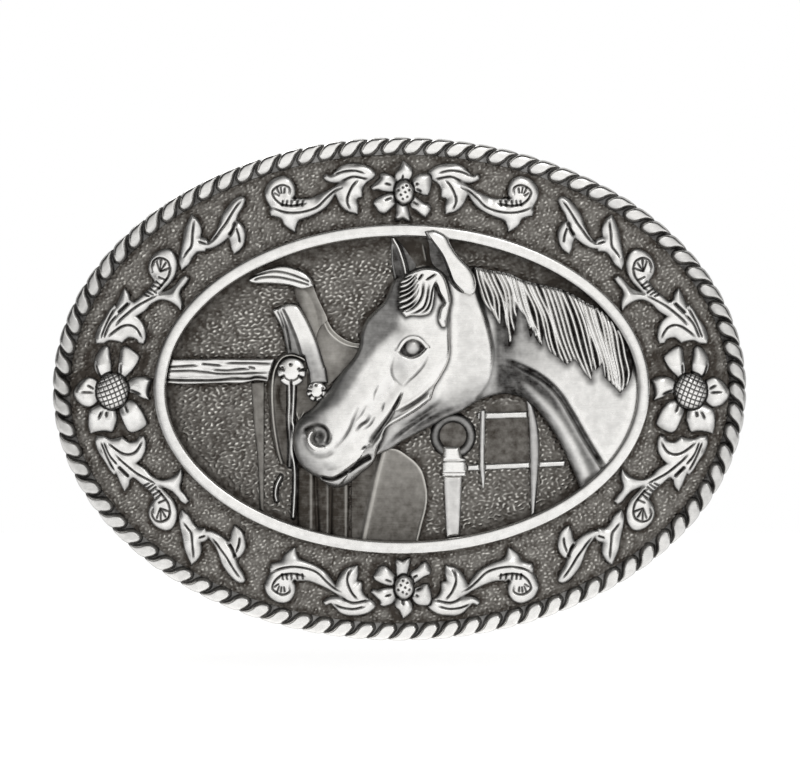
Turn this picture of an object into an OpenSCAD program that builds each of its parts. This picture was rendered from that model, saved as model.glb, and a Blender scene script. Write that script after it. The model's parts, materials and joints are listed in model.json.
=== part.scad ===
// Western trophy belt buckle: a gently curved oval plate with a rope edge, a scrolled border and, inside
// a raised inner rim, a horse's head looking over a saddle, with a belt bail and a prong on the back.
// Frame: as worn, +Z up, the face looks along -Y, and +X is to the right seen from the front.
// Origin: the centre of the oval on the back face of the plate.

/* [Plate] */
// Width of the oval over the rope edge
oval_w = 97; // [95:0.5:100]
// Height of the oval over the rope edge
oval_h = 70; // [69:0.5:72]
// Radius that the back is bent to, about an upright line behind the wearer's side
bend_r = 300; // [260:10:500]
// Thickness of the plain back plate
plate_t = 1.6; // [1.4:0.1:2.0]

/* [Border] */
// Thickness of the border sheet laid on the plate
border_t = 1.2; // [0.9:0.1:1.4]
// Width of the rope edge
rope_w = 2.7; // [2.5:0.1:2.8]
// Height of the rope edge above the plate
rope_t = 3.0; // [2.4:0.1:3.4]
// Width of the inner rim
rim_w = 1.7; // [1.4:0.1:1.8]
// Height of the inner rim above the plate
rim_t = 3.2; // [2.8:0.1:3.4]
// Height of the scrolls, sprigs and flowers above the border sheet
ornament_t = 1.1; // [0.8:0.1:1.4]

/* [Picture] */
// Height of the horse's head above the plate
head_t = 3.6; // [3.4:0.1:3.8]
// Height of the horse's neck above the plate
neck_t = 2.2; // [1.9:0.1:2.4]
// Height of the saddle's flat leather above the plate
leather_t = 0.8; // [0.6:0.1:0.9]

/* [Back hardware] */
// Widest belt that the bail takes, plus its play
belt_w = 40; // [38.5:0.5:41]
// Diameter of the bail's wire
wire_d = 3.0; // [2.8:0.1:3.2]
// Radial clearance of the bail's ends in the hinge barrel
hinge_gap = 0.05; // [0.03:0.01:0.08]
// Distance from the hinge line to the middle of the bail's crossbar
bail_depth = 16; // [14:0.5:17]
// Diameter of the prong
prong_d = 4.0; // [3.6:0.1:4.4]

/* [Hidden] */
$fn = 180;

drawn_w = 97;         // the oval that the outlines below are drawn for
drawn_h = 70;
oval_sides = 120;     // flats round each oval
bend_sides = 1440;    // flats round the great cylinders that the plate is bent to
steps = 3;            // flats to each stretch of a curved outline
mirror_x = 0.3;       // the border's pattern is mirrored about this upright line ...
mirror_z = -0.1;      // ... and about this level line

border_top = plate_t + border_t;
rope_top = plate_t + rope_t;
rim_top = plate_t + rim_t;
ornament_top = border_top + ornament_t;
head_top = plate_t + head_t;
neck_top = plate_t + neck_t;
leather_top = plate_t + leather_t;

plate_lip = 0.5;      // how far the rope edge stands out past the plate
rim_centre = 0.3;     // the inner rim sits this far to the right of the middle
rim_rx = 34.5;
rim_rz = 22.85;

wire_r = wire_d / 2;
hinge_x = -18;
arm_z = belt_w / 2 + wire_r;
bar_x = hinge_x - bail_depth;
barrel_r = 2.6;
barrel_half = 16;
pintle_half = 8;      // where each end of the bail's wire stops inside the barrel
heel_r = 3;           // bends of the wire at the hinge
corner_r = 4;         // bends of the wire at the crossbar
wire_gap = 0.3;       // air between the folded bail and the back
hinge_y = back_y(bar_x - wire_r) + wire_r + wire_gap;

prong_x = 30;
prong_r = prong_d / 2;
pad_r = 4.5;
pad_t = 1.0;
shank_len = 1.6;
elbow_r = 3;
elbow_turn = 50;
tip_len = 5;

// ---- Outlines. A point is [x, z]; a third value of 1 makes a sharp corner there. ----

SCROLL_A = [
    [-14.63, 26.5, 1], [-14.54, 27.94], [-15.2, 29.14], [-16.4, 29.52], [-17.86, 28.89], [-18.65, 27.68],
    [-18.52, 26.42], [-17.95, 25.3], [-18.0, 24.7, 1], [-17.8, 24.1, 1], [-16.47, 23.7], [-15.96, 22.87],
    [-15.2, 22.2], [-14.5, 21.8, 1], [-14.29, 22.75], [-13.8, 23.44], [-12.04, 24.14], [-10.27, 25.2],
    [-9.38, 26.3], [-8.94, 27.2, 1], [-8.24, 25.66], [-7.3, 24.7], [-5.84, 24.3, 1], [-5.77, 25.4],
    [-5.9, 26.4], [-5.27, 26.7], [-5.14, 27.94], [-4.5, 28.8, 1], [-3.8, 29.2], [-3.35, 29.9],
    [-4.06, 30.66], [-5.33, 31.15], [-6.97, 31.25], [-8.24, 30.8], [-9.0, 30.03], [-9.57, 29.55],
    [-10.2, 29.77], [-10.5, 29.4], [-10.2, 29.0], [-9.25, 28.65], [-7.99, 28.76, 1], [-9.89, 27.56],
    [-12.16, 26.55], [-13.5, 26.35]
];
SCROLL_B = [
    [-42.25, 6.35, 1], [-42.4, 7.3], [-42.0, 8.5], [-41.1, 9.8], [-40.4, 11.0], [-39.75, 11.7, 1],
    [-39.5, 11.4, 1], [-38.85, 13.0], [-38.3, 14.0, 1], [-37.75, 13.3], [-37.6, 12.45, 1], [-37.0, 12.1],
    [-36.1, 12.85, 1], [-34.8, 13.95], [-34.05, 15.1, 1], [-34.67, 15.91], [-34.92, 16.8], [-34.8, 17.68],
    [-34.29, 18.57], [-33.4, 19.2], [-32.4, 19.46], [-31.57, 19.01], [-31.06, 17.94], [-31.0, 16.92],
    [-31.32, 15.78], [-31.95, 14.77], [-32.9, 13.8], [-33.4, 13.3, 1], [-31.9, 13.9], [-31.0, 14.65],
    [-30.37, 15.4], [-29.75, 15.75, 1], [-29.3, 15.35, 1], [-29.8, 14.6], [-30.4, 13.9], [-30.56, 13.2],
    [-30.3, 12.4], [-30.2, 11.6], [-30.4, 10.95, 1], [-31.0, 11.6], [-31.9, 12.2], [-33.0, 12.5],
    [-33.9, 12.24], [-34.67, 11.74], [-35.4, 10.97], [-36.7, 10.15, 1], [-35.94, 9.4], [-35.43, 8.3],
    [-35.35, 7.05], [-35.65, 6.35, 1], [-36.3, 6.45, 1], [-36.7, 7.0], [-37.6, 7.25], [-38.2, 6.9],
    [-38.7, 6.45, 1], [-39.5, 6.7], [-40.4, 6.8], [-41.2, 6.45, 1]
];
SPRIG = [
    [-30.3, 16.6, 1], [-30.6, 17.6], [-30.5, 18.8], [-30.23, 19.95], [-30.05, 21.07], [-29.88, 22.1],
    [-29.36, 23.3], [-28.93, 24.25, 1], [-28.23, 23.7], [-27.71, 22.8], [-27.58, 21.94],
    [-27.68, 21.1, 1],
    [-27.2, 21.0], [-26.75, 20.7], [-26.65, 20.3, 1], [-25.98, 21.07], [-25.46, 21.94], [-24.8, 23.67],
    [-24.42, 24.54], [-23.64, 25.58], [-22.86, 26.4], [-22.08, 26.75], [-21.5, 26.4], [-21.82, 25.32],
    [-22.43, 24.28], [-22.8, 23.2, 1], [-22.34, 23.2], [-21.73, 22.55], [-21.43, 21.68], [-21.52, 20.64],
    [-21.82, 19.77], [-22.34, 19.17], [-22.95, 18.8, 1], [-23.29, 19.51], [-23.47, 20.38],
    [-23.77, 21.07, 1],
    [-24.94, 20.15], [-26.0, 19.6], [-26.95, 19.5, 1], [-27.02, 19.17, 1], [-28.06, 19.08],
    [-28.75, 18.39],
    [-29.36, 17.35]
];

TOP_CENTRE = [0.65, 27.3];      // middle of the top flower
TOP_CENTRE_R = [1.3, 1.65];     // half width and half height of its oval centre
TOP_PETALS = [
    [[0.5, 31.65, 1], [1.2, 31.2], [1.75, 30.5], [1.7, 29.6], [1.25, 28.9, 1], [0.5, 28.2, 1],
     [-0.3, 28.8, 1],
     [-0.6, 29.4], [-0.5, 30.0], [0.0, 30.5], [0.25, 31.1]],
    [[1.7, 28.8, 1], [2.1, 29.4], [2.8, 29.78], [3.8, 29.85], [4.35, 29.6], [4.4, 28.5], [4.24, 27.6],
     [3.94, 26.9, 1], [3.28, 26.95], [2.6, 27.3], [1.7, 27.5, 1]],
    [[1.9, 26.9, 1], [2.77, 26.26], [3.43, 25.8], [4.2, 25.5], [4.3, 24.94], [4.0, 24.2],
     [3.58, 23.75, 1],
     [3.06, 24.06], [2.33, 24.8], [1.67, 25.2], [1.4, 25.8, 1]],
    [[-0.3, 25.9, 1], [-0.45, 25.2], [-0.42, 24.6], [-0.55, 23.8], [-0.35, 23.4, 1], [0.1, 23.5],
     [0.43, 23.65],
     [0.87, 23.4], [1.45, 23.25, 1], [1.4, 23.84], [1.23, 24.7], [1.0, 25.7, 1]],
    [[-0.6, 27.0, 1], [-1.4, 27.1], [-2.58, 26.7], [-3.39, 26.26], [-3.6, 25.75], [-3.24, 25.16],
     [-2.87, 24.57], [-2.43, 24.35], [-1.92, 24.38], [-1.33, 24.94], [-0.6, 25.7, 1]],
    [[-0.5, 28.7, 1], [-0.9, 29.4], [-1.63, 29.8], [-2.2, 29.93], [-2.7, 29.75], [-2.65, 29.3],
     [-3.2, 28.75],
     [-4.0, 28.0, 1], [-3.7, 27.62], [-3.1, 27.7], [-2.3, 27.5], [-1.48, 27.4], [-0.6, 27.4, 1]]
];
SIDE_CENTRE = [-40.0, -0.3];    // middle of the left flower
SIDE_CENTRE_R = [2.2, 2.5];
SIDE_PETALS = [
    [[-40.9, 5.95], [-40.55, 5.6], [-40.45, 4.8], [-40.3, 3.4], [-40.3, 1.9, 1], [-41.2, 1.5, 1],
     [-41.6, 2.45],
     [-42.0, 3.3], [-42.15, 4.26], [-41.9, 5.1], [-41.4, 5.7]],
    [[-38.4, 5.95], [-37.7, 5.75], [-36.8, 5.1], [-36.24, 4.48], [-36.45, 3.73], [-37.1, 2.77],
     [-37.94, 1.92], [-38.6, 1.2, 1], [-39.3, 1.8, 1], [-39.1, 3.4], [-38.95, 4.6], [-38.85, 5.5]],
    [[-38.0, 0.9, 1], [-37.5, 1.3], [-36.8, 1.6], [-35.5, 1.7], [-34.5, 1.2, 1], [-34.9, 0.1],
     [-34.96, -0.85],
     [-34.85, -1.5, 1], [-35.9, -1.17], [-36.9, -0.53], [-38.0, -0.4, 1]],
    [[-38.2, -1.6, 1], [-37.6, -1.55], [-36.8, -1.92], [-35.9, -3.0], [-35.4, -4.05], [-35.2, -4.9],
     [-36.1, -5.65], [-37.1, -6.05], [-37.8, -5.86], [-38.26, -5.1], [-38.6, -4.26], [-39.0, -3.3],
     [-39.2, -2.2, 1]],
    [[-41.6, -2.0, 1], [-42.5, -2.5], [-43.17, -3.0], [-43.4, -4.05], [-43.4, -5.2], [-43.1, -6.2, 1],
     [-42.2, -5.97], [-41.0, -5.86], [-40.07, -5.97], [-39.65, -5.1], [-39.4, -3.94], [-39.7, -2.4, 1]],
    [[-42.0, 0.9, 1], [-42.5, 1.3], [-43.3, 1.55], [-44.0, 1.17], [-44.66, 0.43], [-45.0, -0.43],
     [-44.9, -1.4], [-44.1, -2.3], [-42.95, -2.35], [-41.9, -1.5, 1]]
];

HEAD = [
    [-1.0, 14.9, 1], [0.3, 15.7], [1.8, 16.5], [3.4, 17.0], [5.2, 16.7], [6.4, 15.7], [7.0, 14.0],
    [7.3, 12.4],
    [7.0, 10.5], [6.95, 7.5], [7.0, 5.0], [6.6, 3.4], [5.8, 1.9], [4.9, 0.2], [4.4, -1.4, 1], [2.5, -2.9],
    [0.5, -4.1], [-1.6, -5.2], [-2.2, -6.0], [-2.4, -6.9], [-2.9, -7.8], [-3.2, -8.8], [-3.5, -9.8],
    [-4.3, -10.8], [-5.3, -11.6], [-6.4, -12.6], [-7.5, -13.4], [-9.0, -13.65], [-10.3, -13.1],
    [-11.3, -12.3], [-12.4, -11.7], [-13.6, -10.7], [-14.4, -9.3], [-14.8, -7.6], [-14.8, -6.2],
    [-14.3, -4.8], [-13.4, -3.7], [-12.0, -2.6], [-10.5, -1.0], [-9.2, 0.8], [-7.9, 2.5], [-6.5, 4.1],
    [-5.6, 5.8], [-5.4, 7.6, 1], [-4.7, 9.5], [-3.4, 10.9], [-2.3, 12.0], [-1.6, 13.3]
];
FORELOCK = [
    [0.2, 15.0, 1], [0.0, 13.6], [-0.1, 12.2], [0.1, 11.0], [0.9, 10.0, 1], [1.6, 10.2], [3.0, 10.2],
    [4.1, 10.5], [4.6, 11.4], [4.8, 12.8], [5.1, 14.6, 1], [5.6, 13.1], [6.2, 12.0], [5.7, 11.2],
    [5.45, 10.2], [5.5, 9.4], [5.9, 8.6, 1], [6.35, 8.7], [6.5, 9.7], [6.8, 11.2], [7.0, 12.3],
    [6.8, 13.6], [6.3, 15.2], [5.4, 16.3], [3.6, 16.7], [1.9, 16.2]
];
NEAR_EAR = [
    [3.55, 21.75, 1], [4.7, 21.95], [5.7, 21.6], [6.5, 21.0], [7.0, 20.0], [7.7, 18.9], [8.6, 17.8],
    [9.5, 16.9], [10.1, 16.0], [10.5, 14.8], [10.4, 13.6], [10.0, 13.1], [9.2, 13.2], [8.1, 13.7],
    [7.2, 14.6], [6.4, 15.9], [5.5, 16.6], [4.7, 17.3], [4.3, 18.6], [4.15, 20.2]
];
FAR_EAR = [
    [-1.15, 21.0, 1], [-0.2, 20.6], [0.9, 19.3], [1.7, 18.0], [2.3, 17.1], [1.4, 15.9, 1], [0.0, 15.0],
    [-0.6, 15.2], [-0.9, 16.0], [-1.1, 17.6], [-1.2, 19.4]
];
NECK = [
    [6.0, 16.0, 1], [8.0, 16.6], [10.2, 16.9], [12.4, 16.5], [15.0, 16.1], [17.0, 15.2], [20.0, 14.4],
    [22.3, 13.9], [24.2, 13.1], [26.0, 12.0], [27.8, 11.1], [29.3, 9.6], [30.6, 8.0], [31.6, 6.0],
    [32.4, 4.0], [34.0, 0.0], [33.0, -8.0], [26.0, -16.0, 1], [25.1, -13.7], [24.2, -11.4], [23.0, -8.8],
    [21.6, -6.2], [20.0, -3.9], [18.5, -2.2], [17.0, -1.1], [15.0, -0.7], [13.0, -0.9], [10.6, -1.8],
    [8.5, -3.1], [6.5, -3.9], [4.6, -5.0], [2.3, -6.2], [0.0, -7.5], [-1.4, -8.4], [-3.4, -9.2, 1],
    [-2.0, -5.0, 1]
];
MANE = [
    [10.2, 16.9, 1], [12.4, 16.5], [15.0, 16.1], [17.0, 15.2], [20.0, 14.4], [22.3, 13.9], [24.2, 13.1],
    [26.0, 12.0], [27.8, 11.1], [29.3, 9.6], [30.6, 8.0], [31.6, 6.0], [32.2, 4.0], [32.3, 2.4],
    [31.8, 0.9], [30.7, -0.5, 1], [29.7, 0.6], [28.6, 1.6, 1], [28.2, 3.6, 1], [27.2, 2.7, 1],
    [26.9, 3.8, 1], [26.6, 1.3, 1], [25.4, 2.8], [24.4, 4.2, 1], [23.2, 3.5, 1], [22.0, 4.5], [21.0, 5.2],
    [20.2, 7.2], [20.0, 8.4, 1], [19.7, 6.1, 1], [18.9, 7.2], [18.7, 8.4, 1], [18.2, 7.3, 1],
    [17.6, 9.9], [16.8, 10.9], [16.4, 11.6, 1], [16.15, 9.8], [15.9, 8.2], [15.2, 6.0, 1], [15.05, 8.0],
    [14.6, 10.0], [14.1, 11.3, 1], [13.9, 9.1, 1], [12.6, 11.0], [11.5, 12.3], [11.1, 14.0], [10.6, 15.6]
];

CANTLE = [
    [-20.8, 15.2], [-19.5, 15.95], [-18.15, 16.5], [-17.1, 16.9], [-15.9, 16.95], [-14.55, 16.6],
    [-13.35, 16.1], [-12.5, 15.35], [-12.1, 14.4, 1], [-13.5, 14.1], [-15.35, 14.6], [-18.0, 14.85],
    [-20.0, 14.85]
];
SEAT = [
    [-14.9, 14.6, 1], [-14.6, 13.4], [-14.3, 12.4], [-13.6, 10.6, 1], [-12.5, 8.0], [-11.5, 5.4, 1],
    [-10.2, 5.4, 1], [-10.1, 7.5], [-10.0, 9.5], [-10.6, 11.0], [-11.4, 12.7], [-12.1, 14.6, 1]
];
FORK = [
    [-17.6, 10.95], [-16.9, 11.15], [-15.9, 11.7], [-14.9, 11.8], [-14.0, 11.4], [-13.1, 10.0],
    [-12.3, 8.4], [-11.5, 6.5], [-10.9, 4.6], [-10.4, 2.9], [-10.1, 1.6, 1], [-11.2, 1.75],
    [-12.4, 1.9, 1],
    [-12.8, 3.1], [-13.2, 4.65, 1], [-15.5, 4.75, 1], [-15.9, 6.7], [-16.3, 8.4], [-17.0, 9.8]
];
SKIRT = [
    [-10.0, 9.5, 1], [-9.2, 8.15], [-7.9, 7.05], [-6.6, 6.45], [-5.4, 6.3, 1], [-5.6, 4.8, 1],
    [-9.9, 0.4, 1],
    [-11.6, 2.4, 1], [-11.6, 7.0], [-10.9, 8.8, 1]
];
FENDER = [
    [-12.6, 3.2, 1], [-13.4, 4.2], [-14.85, 4.85], [-16.2, 4.5], [-17.25, 3.3], [-17.85, 1.5],
    [-17.95, -0.4],
    [-17.75, -2.7], [-17.5, -5.0], [-17.2, -7.0], [-16.6, -9.3], [-16.2, -10.2, 1], [-14.6, -10.2, 1],
    [-14.4, -7.5], [-14.0, -4.5], [-12.0, -2.6], [-9.6, 0.4, 1], [-10.1, 1.6, 1]
];
FLAP = [
    [-2.6, -8.0, 1], [-0.3, -8.4], [1.2, -9.35], [2.4, -10.3], [3.2, -11.5], [3.7, -13.2], [3.9, -14.9],
    [3.7, -16.8], [3.2, -18.7], [2.6, -21.6, 1], [-6.6, -21.6, 1], [-6.7, -14.0], [-6.4, -11.0, 1]
];
LEATHERS = [
    [[-14.2, -11.6], [-11.9, -11.6], [-11.5, -20.6], [-14.2, -20.6]],
    [[-11.6, -11.0], [-9.8, -11.0], [-9.8, -20.6], [-11.2, -20.6]],
    [[-9.4, -11.0], [-7.0, -11.0], [-7.2, -20.9], [-9.5, -20.9]]
];
STRING_W = 0.55;
STRINGS = [
    [[-15.55, 0.7], [-15.45, -1.0], [-15.3, -3.2], [-15.35, -5.6], [-15.25, -9.1], [-14.9, -10.6],
     [-14.6, -12.55], [-14.5, -14.9], [-14.7, -16.4], [-14.8, -17.8]],
    [[-14.65, 0.7], [-14.7, -1.7], [-14.75, -4.2]],
    [[-16.5, -12.2], [-17.05, -13.3], [-17.25, -14.5], [-17.1, -15.5]]
];
CONCHO_LARGE = [-15.1, 2.6, 1.9];   // x, z and radius
CONCHO_SMALL = [-11.6, 0.0, 1.4];

RAIL = [
    [-34.0, 4.1, 1], [-25.0, 4.15], [-17.5, 4.1, 1], [-17.9, 2.9], [-18.4, 1.15, 1], [-20.0, 1.3],
    [-22.0, 0.9], [-26.0, 0.9], [-30.0, 0.7], [-34.0, 1.0, 1]
];
POST = [[-20.7, 0.9, 1], [-18.8, 1.1, 1], [-18.8, -6.0], [-18.9, -18.5, 1], [-19.4, -18.5, 1],
        [-19.8, -9.5],
        [-20.3, -4.8]];

RING = [7.45, -6.5];                // middle of the halter ring
RING_R = 3.0;
RING_BORE = 2.0;
KEEPER = [[6.1, -8.0], [8.3, -8.0], [8.7, -9.6], [9.25, -9.8], [9.3, -12.1], [5.95, -12.1], [5.9, -9.8],
          [6.0, -9.6]];
STRAP = [[6.1, -12.1], [8.7, -12.1], [8.4, -21.5], [6.5, -21.5]];

GATE_RAILS = [
    [[10.9, -3.3], [17.8, -3.1], [17.8, -4.0], [10.9, -4.2]],
    [[9.4, -10.55], [23.2, -9.95], [23.0, -10.8], [9.4, -11.4]]
];
GATE_LEFT = [[11.25, -2.9, 1], [11.95, -2.9, 1], [11.85, -9.6], [11.9, -12.5], [11.6, -14.1, 1],
[11.35, -12.5],
             [11.1, -9.6]];
GATE_RIGHT = [[17.6, -1.2, 1], [18.6, -2.3, 1], [19.2, -4.8], [19.45, -7.9], [19.3, -12.0],
[18.8, -18.5, 1],
              [18.3, -18.5, 1], [18.15, -9.6], [18.0, -4.8]];

silver = [0.82, 0.81, 0.78];
dark = [0.42, 0.40, 0.37];

// ---- Curves ----

// The back face's distance behind the upright tangent plane at x
function back_y(x) = bend_r - sqrt(bend_r * bend_r - x * x);

// A drawn point, stretched with the oval
function fitted(p) = [p[0] * oval_w / drawn_w, p[1] * oval_h / drawn_h];

// Sharp corners become doubled points
function doubled(points) = [for (p = points) each (len(p) == 3 ? [fitted(p), fitted(p)] : [fitted(p)])];

// A point on the smooth curve from b to c, with neighbours a and d
function between(a, b, c, d, t) =
    ((2 * b) + (c - a) * t + (2 * a - 5 * b + 4 * c - d) * t * t + (3 * b - a - 3 * c + d) * t * t * t) / 2;

// The closed smooth outline through a list of points
function outline(points) =
    let (q = doubled(points), n = len(q))
    [for (i = [0 : n - 1])
        let (a = q[(i + n - 1) % n], b = q[i], c = q[(i + 1) % n], d = q[(i + 2) % n])
        if (b != c) for (k = [0 : steps - 1]) between(a, b, c, d, k / steps)];

// The unit direction across a line at its point i
function across(line, i) =
    let (a = line[max(i - 1, 0)], b = line[min(i + 1, len(line) - 1)], d = (b - a) / norm(b - a))
    [-d[1], d[0]];

// A band of one width along a line of points
function band(line, width) = concat(
    [for (i = [0 : len(line) - 1]) line[i] + across(line, i) * width / 2],
    [for (i = [len(line) - 1 : -1 : 0]) line[i] - across(line, i) * width / 2]
);

module oval(rx, rz)
    polygon([for (i = [0 : oval_sides - 1]) [rx * cos(i * 360 / oval_sides), rz * sin(i * 360 / oval_sides)]]);

module shape(points) polygon(outline(points));

module rim_oval(inset)
    translate([rim_centre, 0]) oval(rim_rx * oval_w / drawn_w - inset, rim_rz * oval_h / drawn_h - inset);

// ---- Bent sheets ----

// A flat drawing made into a sheet that follows the bend, from one height above the back to another
module sheet(low, high)
    intersection() {
        translate([0, back_y(oval_w / 2) + 1, 0]) rotate([90, 0, 0])
            linear_extrude(back_y(oval_w / 2) + 1 + high + 1) children();
        translate([0, bend_r, 0]) difference() {
            cylinder(r = bend_r + high, h = oval_h + 4, center = true, $fn = bend_sides);
            cylinder(r = bend_r + low, h = oval_h + 6, center = true, $fn = bend_sides);
        }
    }

// A sheet that stands on the plate inside the rim; the second and later drawings are cut out of the first
module picture(high, low = plate_t)
    sheet(low, high) intersection() {
        difference() {
            children(0);
            if ($children > 1) children([1 : $children - 1]);
        }
        rim_oval(rim_w);
    }

// A low round dome that stands square on a bent sheet at a height above the back
module dome(centre, r, low, rise) {
    ball = (r * r + rise * rise) / (2 * rise);
    c = fitted(centre);
    translate([0, bend_r, c[1]]) rotate([0, 0, asin(c[0] / (bend_r + low))])
        translate([0, -bend_r - low, 0]) rotate([90, 0, 0]) rotate_extrude() intersection() {
            translate([0, rise - ball]) circle(ball);
            square([r, rise]);
        }
}

module flip_x() translate([2 * mirror_x, 0]) mirror([1, 0]) children();
module flip_z() translate([0, 2 * mirror_z]) mirror([0, 1]) children();

// ---- Structure ----

module base_plate()
    color(dark) sheet(0, plate_t) oval(oval_w / 2 - plate_lip, oval_h / 2 - plate_lip);

module border_frame()
    color(dark) sheet(plate_t, border_top) difference() {
        oval(oval_w / 2 - rope_w, oval_h / 2 - rope_w);
        rim_oval(0);
    }

module rope_edge()
    color(silver) sheet(plate_t, rope_top) difference() {
        oval(oval_w / 2, oval_h / 2);
        oval(oval_w / 2 - rope_w, oval_h / 2 - rope_w);
    }

module inner_rim()
    color(silver) sheet(plate_t, rim_top) difference() {
        rim_oval(0);
        rim_oval(rim_w);
    }

// ---- Border ornaments ----

module flower(petals, centre, r)
    union() {
        for (p = petals) shape(p);
        translate(fitted(centre)) oval(r[0], r[1]);
    }

module ornament() color(silver) sheet(border_top, ornament_top) children();

module top_flower() flower(TOP_PETALS, TOP_CENTRE, TOP_CENTRE_R);

module flower_top() ornament() top_flower();
module flower_bottom() ornament() flip_z() top_flower();
module flower_left() ornament() flower(SIDE_PETALS, SIDE_CENTRE, SIDE_CENTRE_R);
module flower_right() ornament() flip_x() flower(SIDE_PETALS, SIDE_CENTRE, SIDE_CENTRE_R);

function flipped_x(p) = [2 * mirror_x - p[0], p[1]];
function flipped_z(p) = [p[0], 2 * mirror_z - p[1]];

module flower_centre(centre, r, rise) color(silver) dome(centre, r, ornament_top, rise);

top_bead = 1.3;       // radius and rise of the small flowers' centres
top_bead_rise = 0.5;
side_bead = 2.2;      // and of the large flowers' centres
side_bead_rise = 0.8;

module flower_top_centre() flower_centre(TOP_CENTRE, top_bead, top_bead_rise);
module flower_bottom_centre() flower_centre(flipped_z(TOP_CENTRE), top_bead, top_bead_rise);
module flower_left_centre() flower_centre(SIDE_CENTRE, side_bead, side_bead_rise);
module flower_right_centre() flower_centre(flipped_x(SIDE_CENTRE), side_bead, side_bead_rise);

// The scroll to the right of the top flower ends against its petal
module scroll_by_flower()
    difference() {
        flip_x() shape(SCROLL_A);
        top_flower();
    }

module scroll_top_left() ornament() shape(SCROLL_A);
module scroll_top_right() ornament() scroll_by_flower();
module scroll_bottom_left() ornament() flip_z() shape(SCROLL_A);
module scroll_bottom_right() ornament() flip_z() scroll_by_flower();
module scroll_left_upper() ornament() shape(SCROLL_B);
module scroll_right_upper() ornament() flip_x() shape(SCROLL_B);
module scroll_left_lower() ornament() flip_z() shape(SCROLL_B);
module scroll_right_lower() ornament() flip_x() flip_z() shape(SCROLL_B);
module sprig_upper_left() ornament() shape(SPRIG);
module sprig_upper_right() ornament() flip_x() shape(SPRIG);
module sprig_lower_left() ornament() flip_z() shape(SPRIG);
module sprig_lower_right() ornament() flip_x() flip_z() shape(SPRIG);

// ---- The horse ----

forelock_t = 0.8;
mane_t = 1.0;
near_ear_t = 4.0;
far_ear_t = 2.0;

module horse_head() color(silver) picture(head_top) shape(HEAD);

module forelock()
    color(silver) sheet(head_top, head_top + forelock_t) intersection() {
        shape(FORELOCK);
        shape(HEAD);
    }

// The near ear leans over the inner rim
module near_ear()
    color(silver) union() {
        picture(neck_top) {
            shape(NEAR_EAR);
            shape(HEAD);
            shape(NECK);
        }
        sheet(neck_top, rim_top) intersection() {
            difference() {
                shape(NEAR_EAR);
                shape(HEAD);
            }
            rim_oval(rim_w);
        }
        sheet(rim_top, plate_t + near_ear_t) difference() {
            shape(NEAR_EAR);
            shape(HEAD);
        }
    }

module far_ear()
    color(silver) picture(plate_t + far_ear_t) {
        shape(FAR_EAR);
        shape(HEAD);
    }

module horse_neck()
    color(silver) picture(neck_top) {
        shape(NECK);
        shape(HEAD);
    }

module mane()
    color(silver) sheet(neck_top, neck_top + mane_t) intersection() {
        shape(MANE);
        shape(NECK);
        rim_oval(rim_w);
    }

// ---- The saddle ----

cantle_t = 1.8;
fork_t = 1.5;
seat_t = 1.0;
concho_rise = 1.0;
string_t = 0.7;

module saddle_cantle() color(silver) picture(plate_t + cantle_t) shape(CANTLE);

module saddle_seat()
    color(dark) picture(plate_t + seat_t) {
        shape(SEAT);
        shape(CANTLE);
        shape(FORK);
        shape(SKIRT);
    }

module saddle_fork()
    color(silver) picture(plate_t + fork_t) {
        shape(FORK);
        shape(HEAD);
        shape(FENDER);
    }

module saddle_skirt()
    color(dark) picture(leather_top) {
        shape(SKIRT);
        shape(HEAD);
        shape(FORK);
    }

module saddle_fender()
    color(dark) picture(leather_top) {
        shape(FENDER);
        shape(HEAD);
        shape(SKIRT);
    }

module saddle_flap()
    color(dark) picture(leather_top) {
        shape(FLAP);
        shape(HEAD);
        shape(NECK);
    }

module stirrup_leathers()
    color(dark) picture(leather_top) {
        for (strip = LEATHERS) polygon([for (p = strip) fitted(p)]);
        shape(HEAD);
        for (string = STRINGS) polygon([for (p = band(string, STRING_W)) fitted(p)]);
    }

module strings_drawing() for (string = STRINGS) polygon([for (p = band(string, STRING_W)) fitted(p)]);

// The strings hang over the fender and on down over the plate
module saddle_strings()
    color(silver) union() {
        picture(leather_top + string_t, leather_top) {
            strings_drawing();
            shape(HEAD);
            concho_drawing(CONCHO_LARGE);
        }
        picture(leather_top) {
            strings_drawing();
            shape(HEAD);
            shape(FENDER);
        }
    }

module concho_drawing(c) translate(fitted(c)) circle(c[2]);

module concho(c) color(silver) dome([c[0], c[1]], c[2], leather_top, concho_rise);

module concho_large() concho(CONCHO_LARGE);
module concho_small() concho(CONCHO_SMALL);

// ---- The fence, the gate and the halter ----

rail_t = 1.4;
post_t = 0.6;
strap_t = 1.2;
keeper_t = 1.8;
ring_t = 1.0;
gate_t = 1.2;
gate_rail_t = 0.8;

module fence_rail()
    color(silver) picture(plate_t + rail_t) {
        shape(RAIL);
        shape(FENDER);
    }

module fence_post()
    color(dark) picture(plate_t + post_t) {
        shape(POST);
        shape(RAIL);
    }

module keeper_drawing() polygon([for (p = KEEPER) fitted(p)]);

module halter_ring()
    color(silver) picture(plate_t + ring_t) {
        translate(fitted(RING)) circle(RING_R);
        translate(fitted(RING)) circle(RING_BORE);
        keeper_drawing();
        shape(NECK);
    }

module strap_keeper() color(silver) picture(plate_t + keeper_t) keeper_drawing();
module halter_strap() color(silver) picture(plate_t + strap_t) polygon([for (p = STRAP) fitted(p)]);
module gate_post_left() color(silver) picture(plate_t + gate_t) shape(GATE_LEFT);

module gate_post_right()
    color(silver) picture(plate_t + gate_t) {
        shape(GATE_RIGHT);
        shape(NECK);
    }

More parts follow.
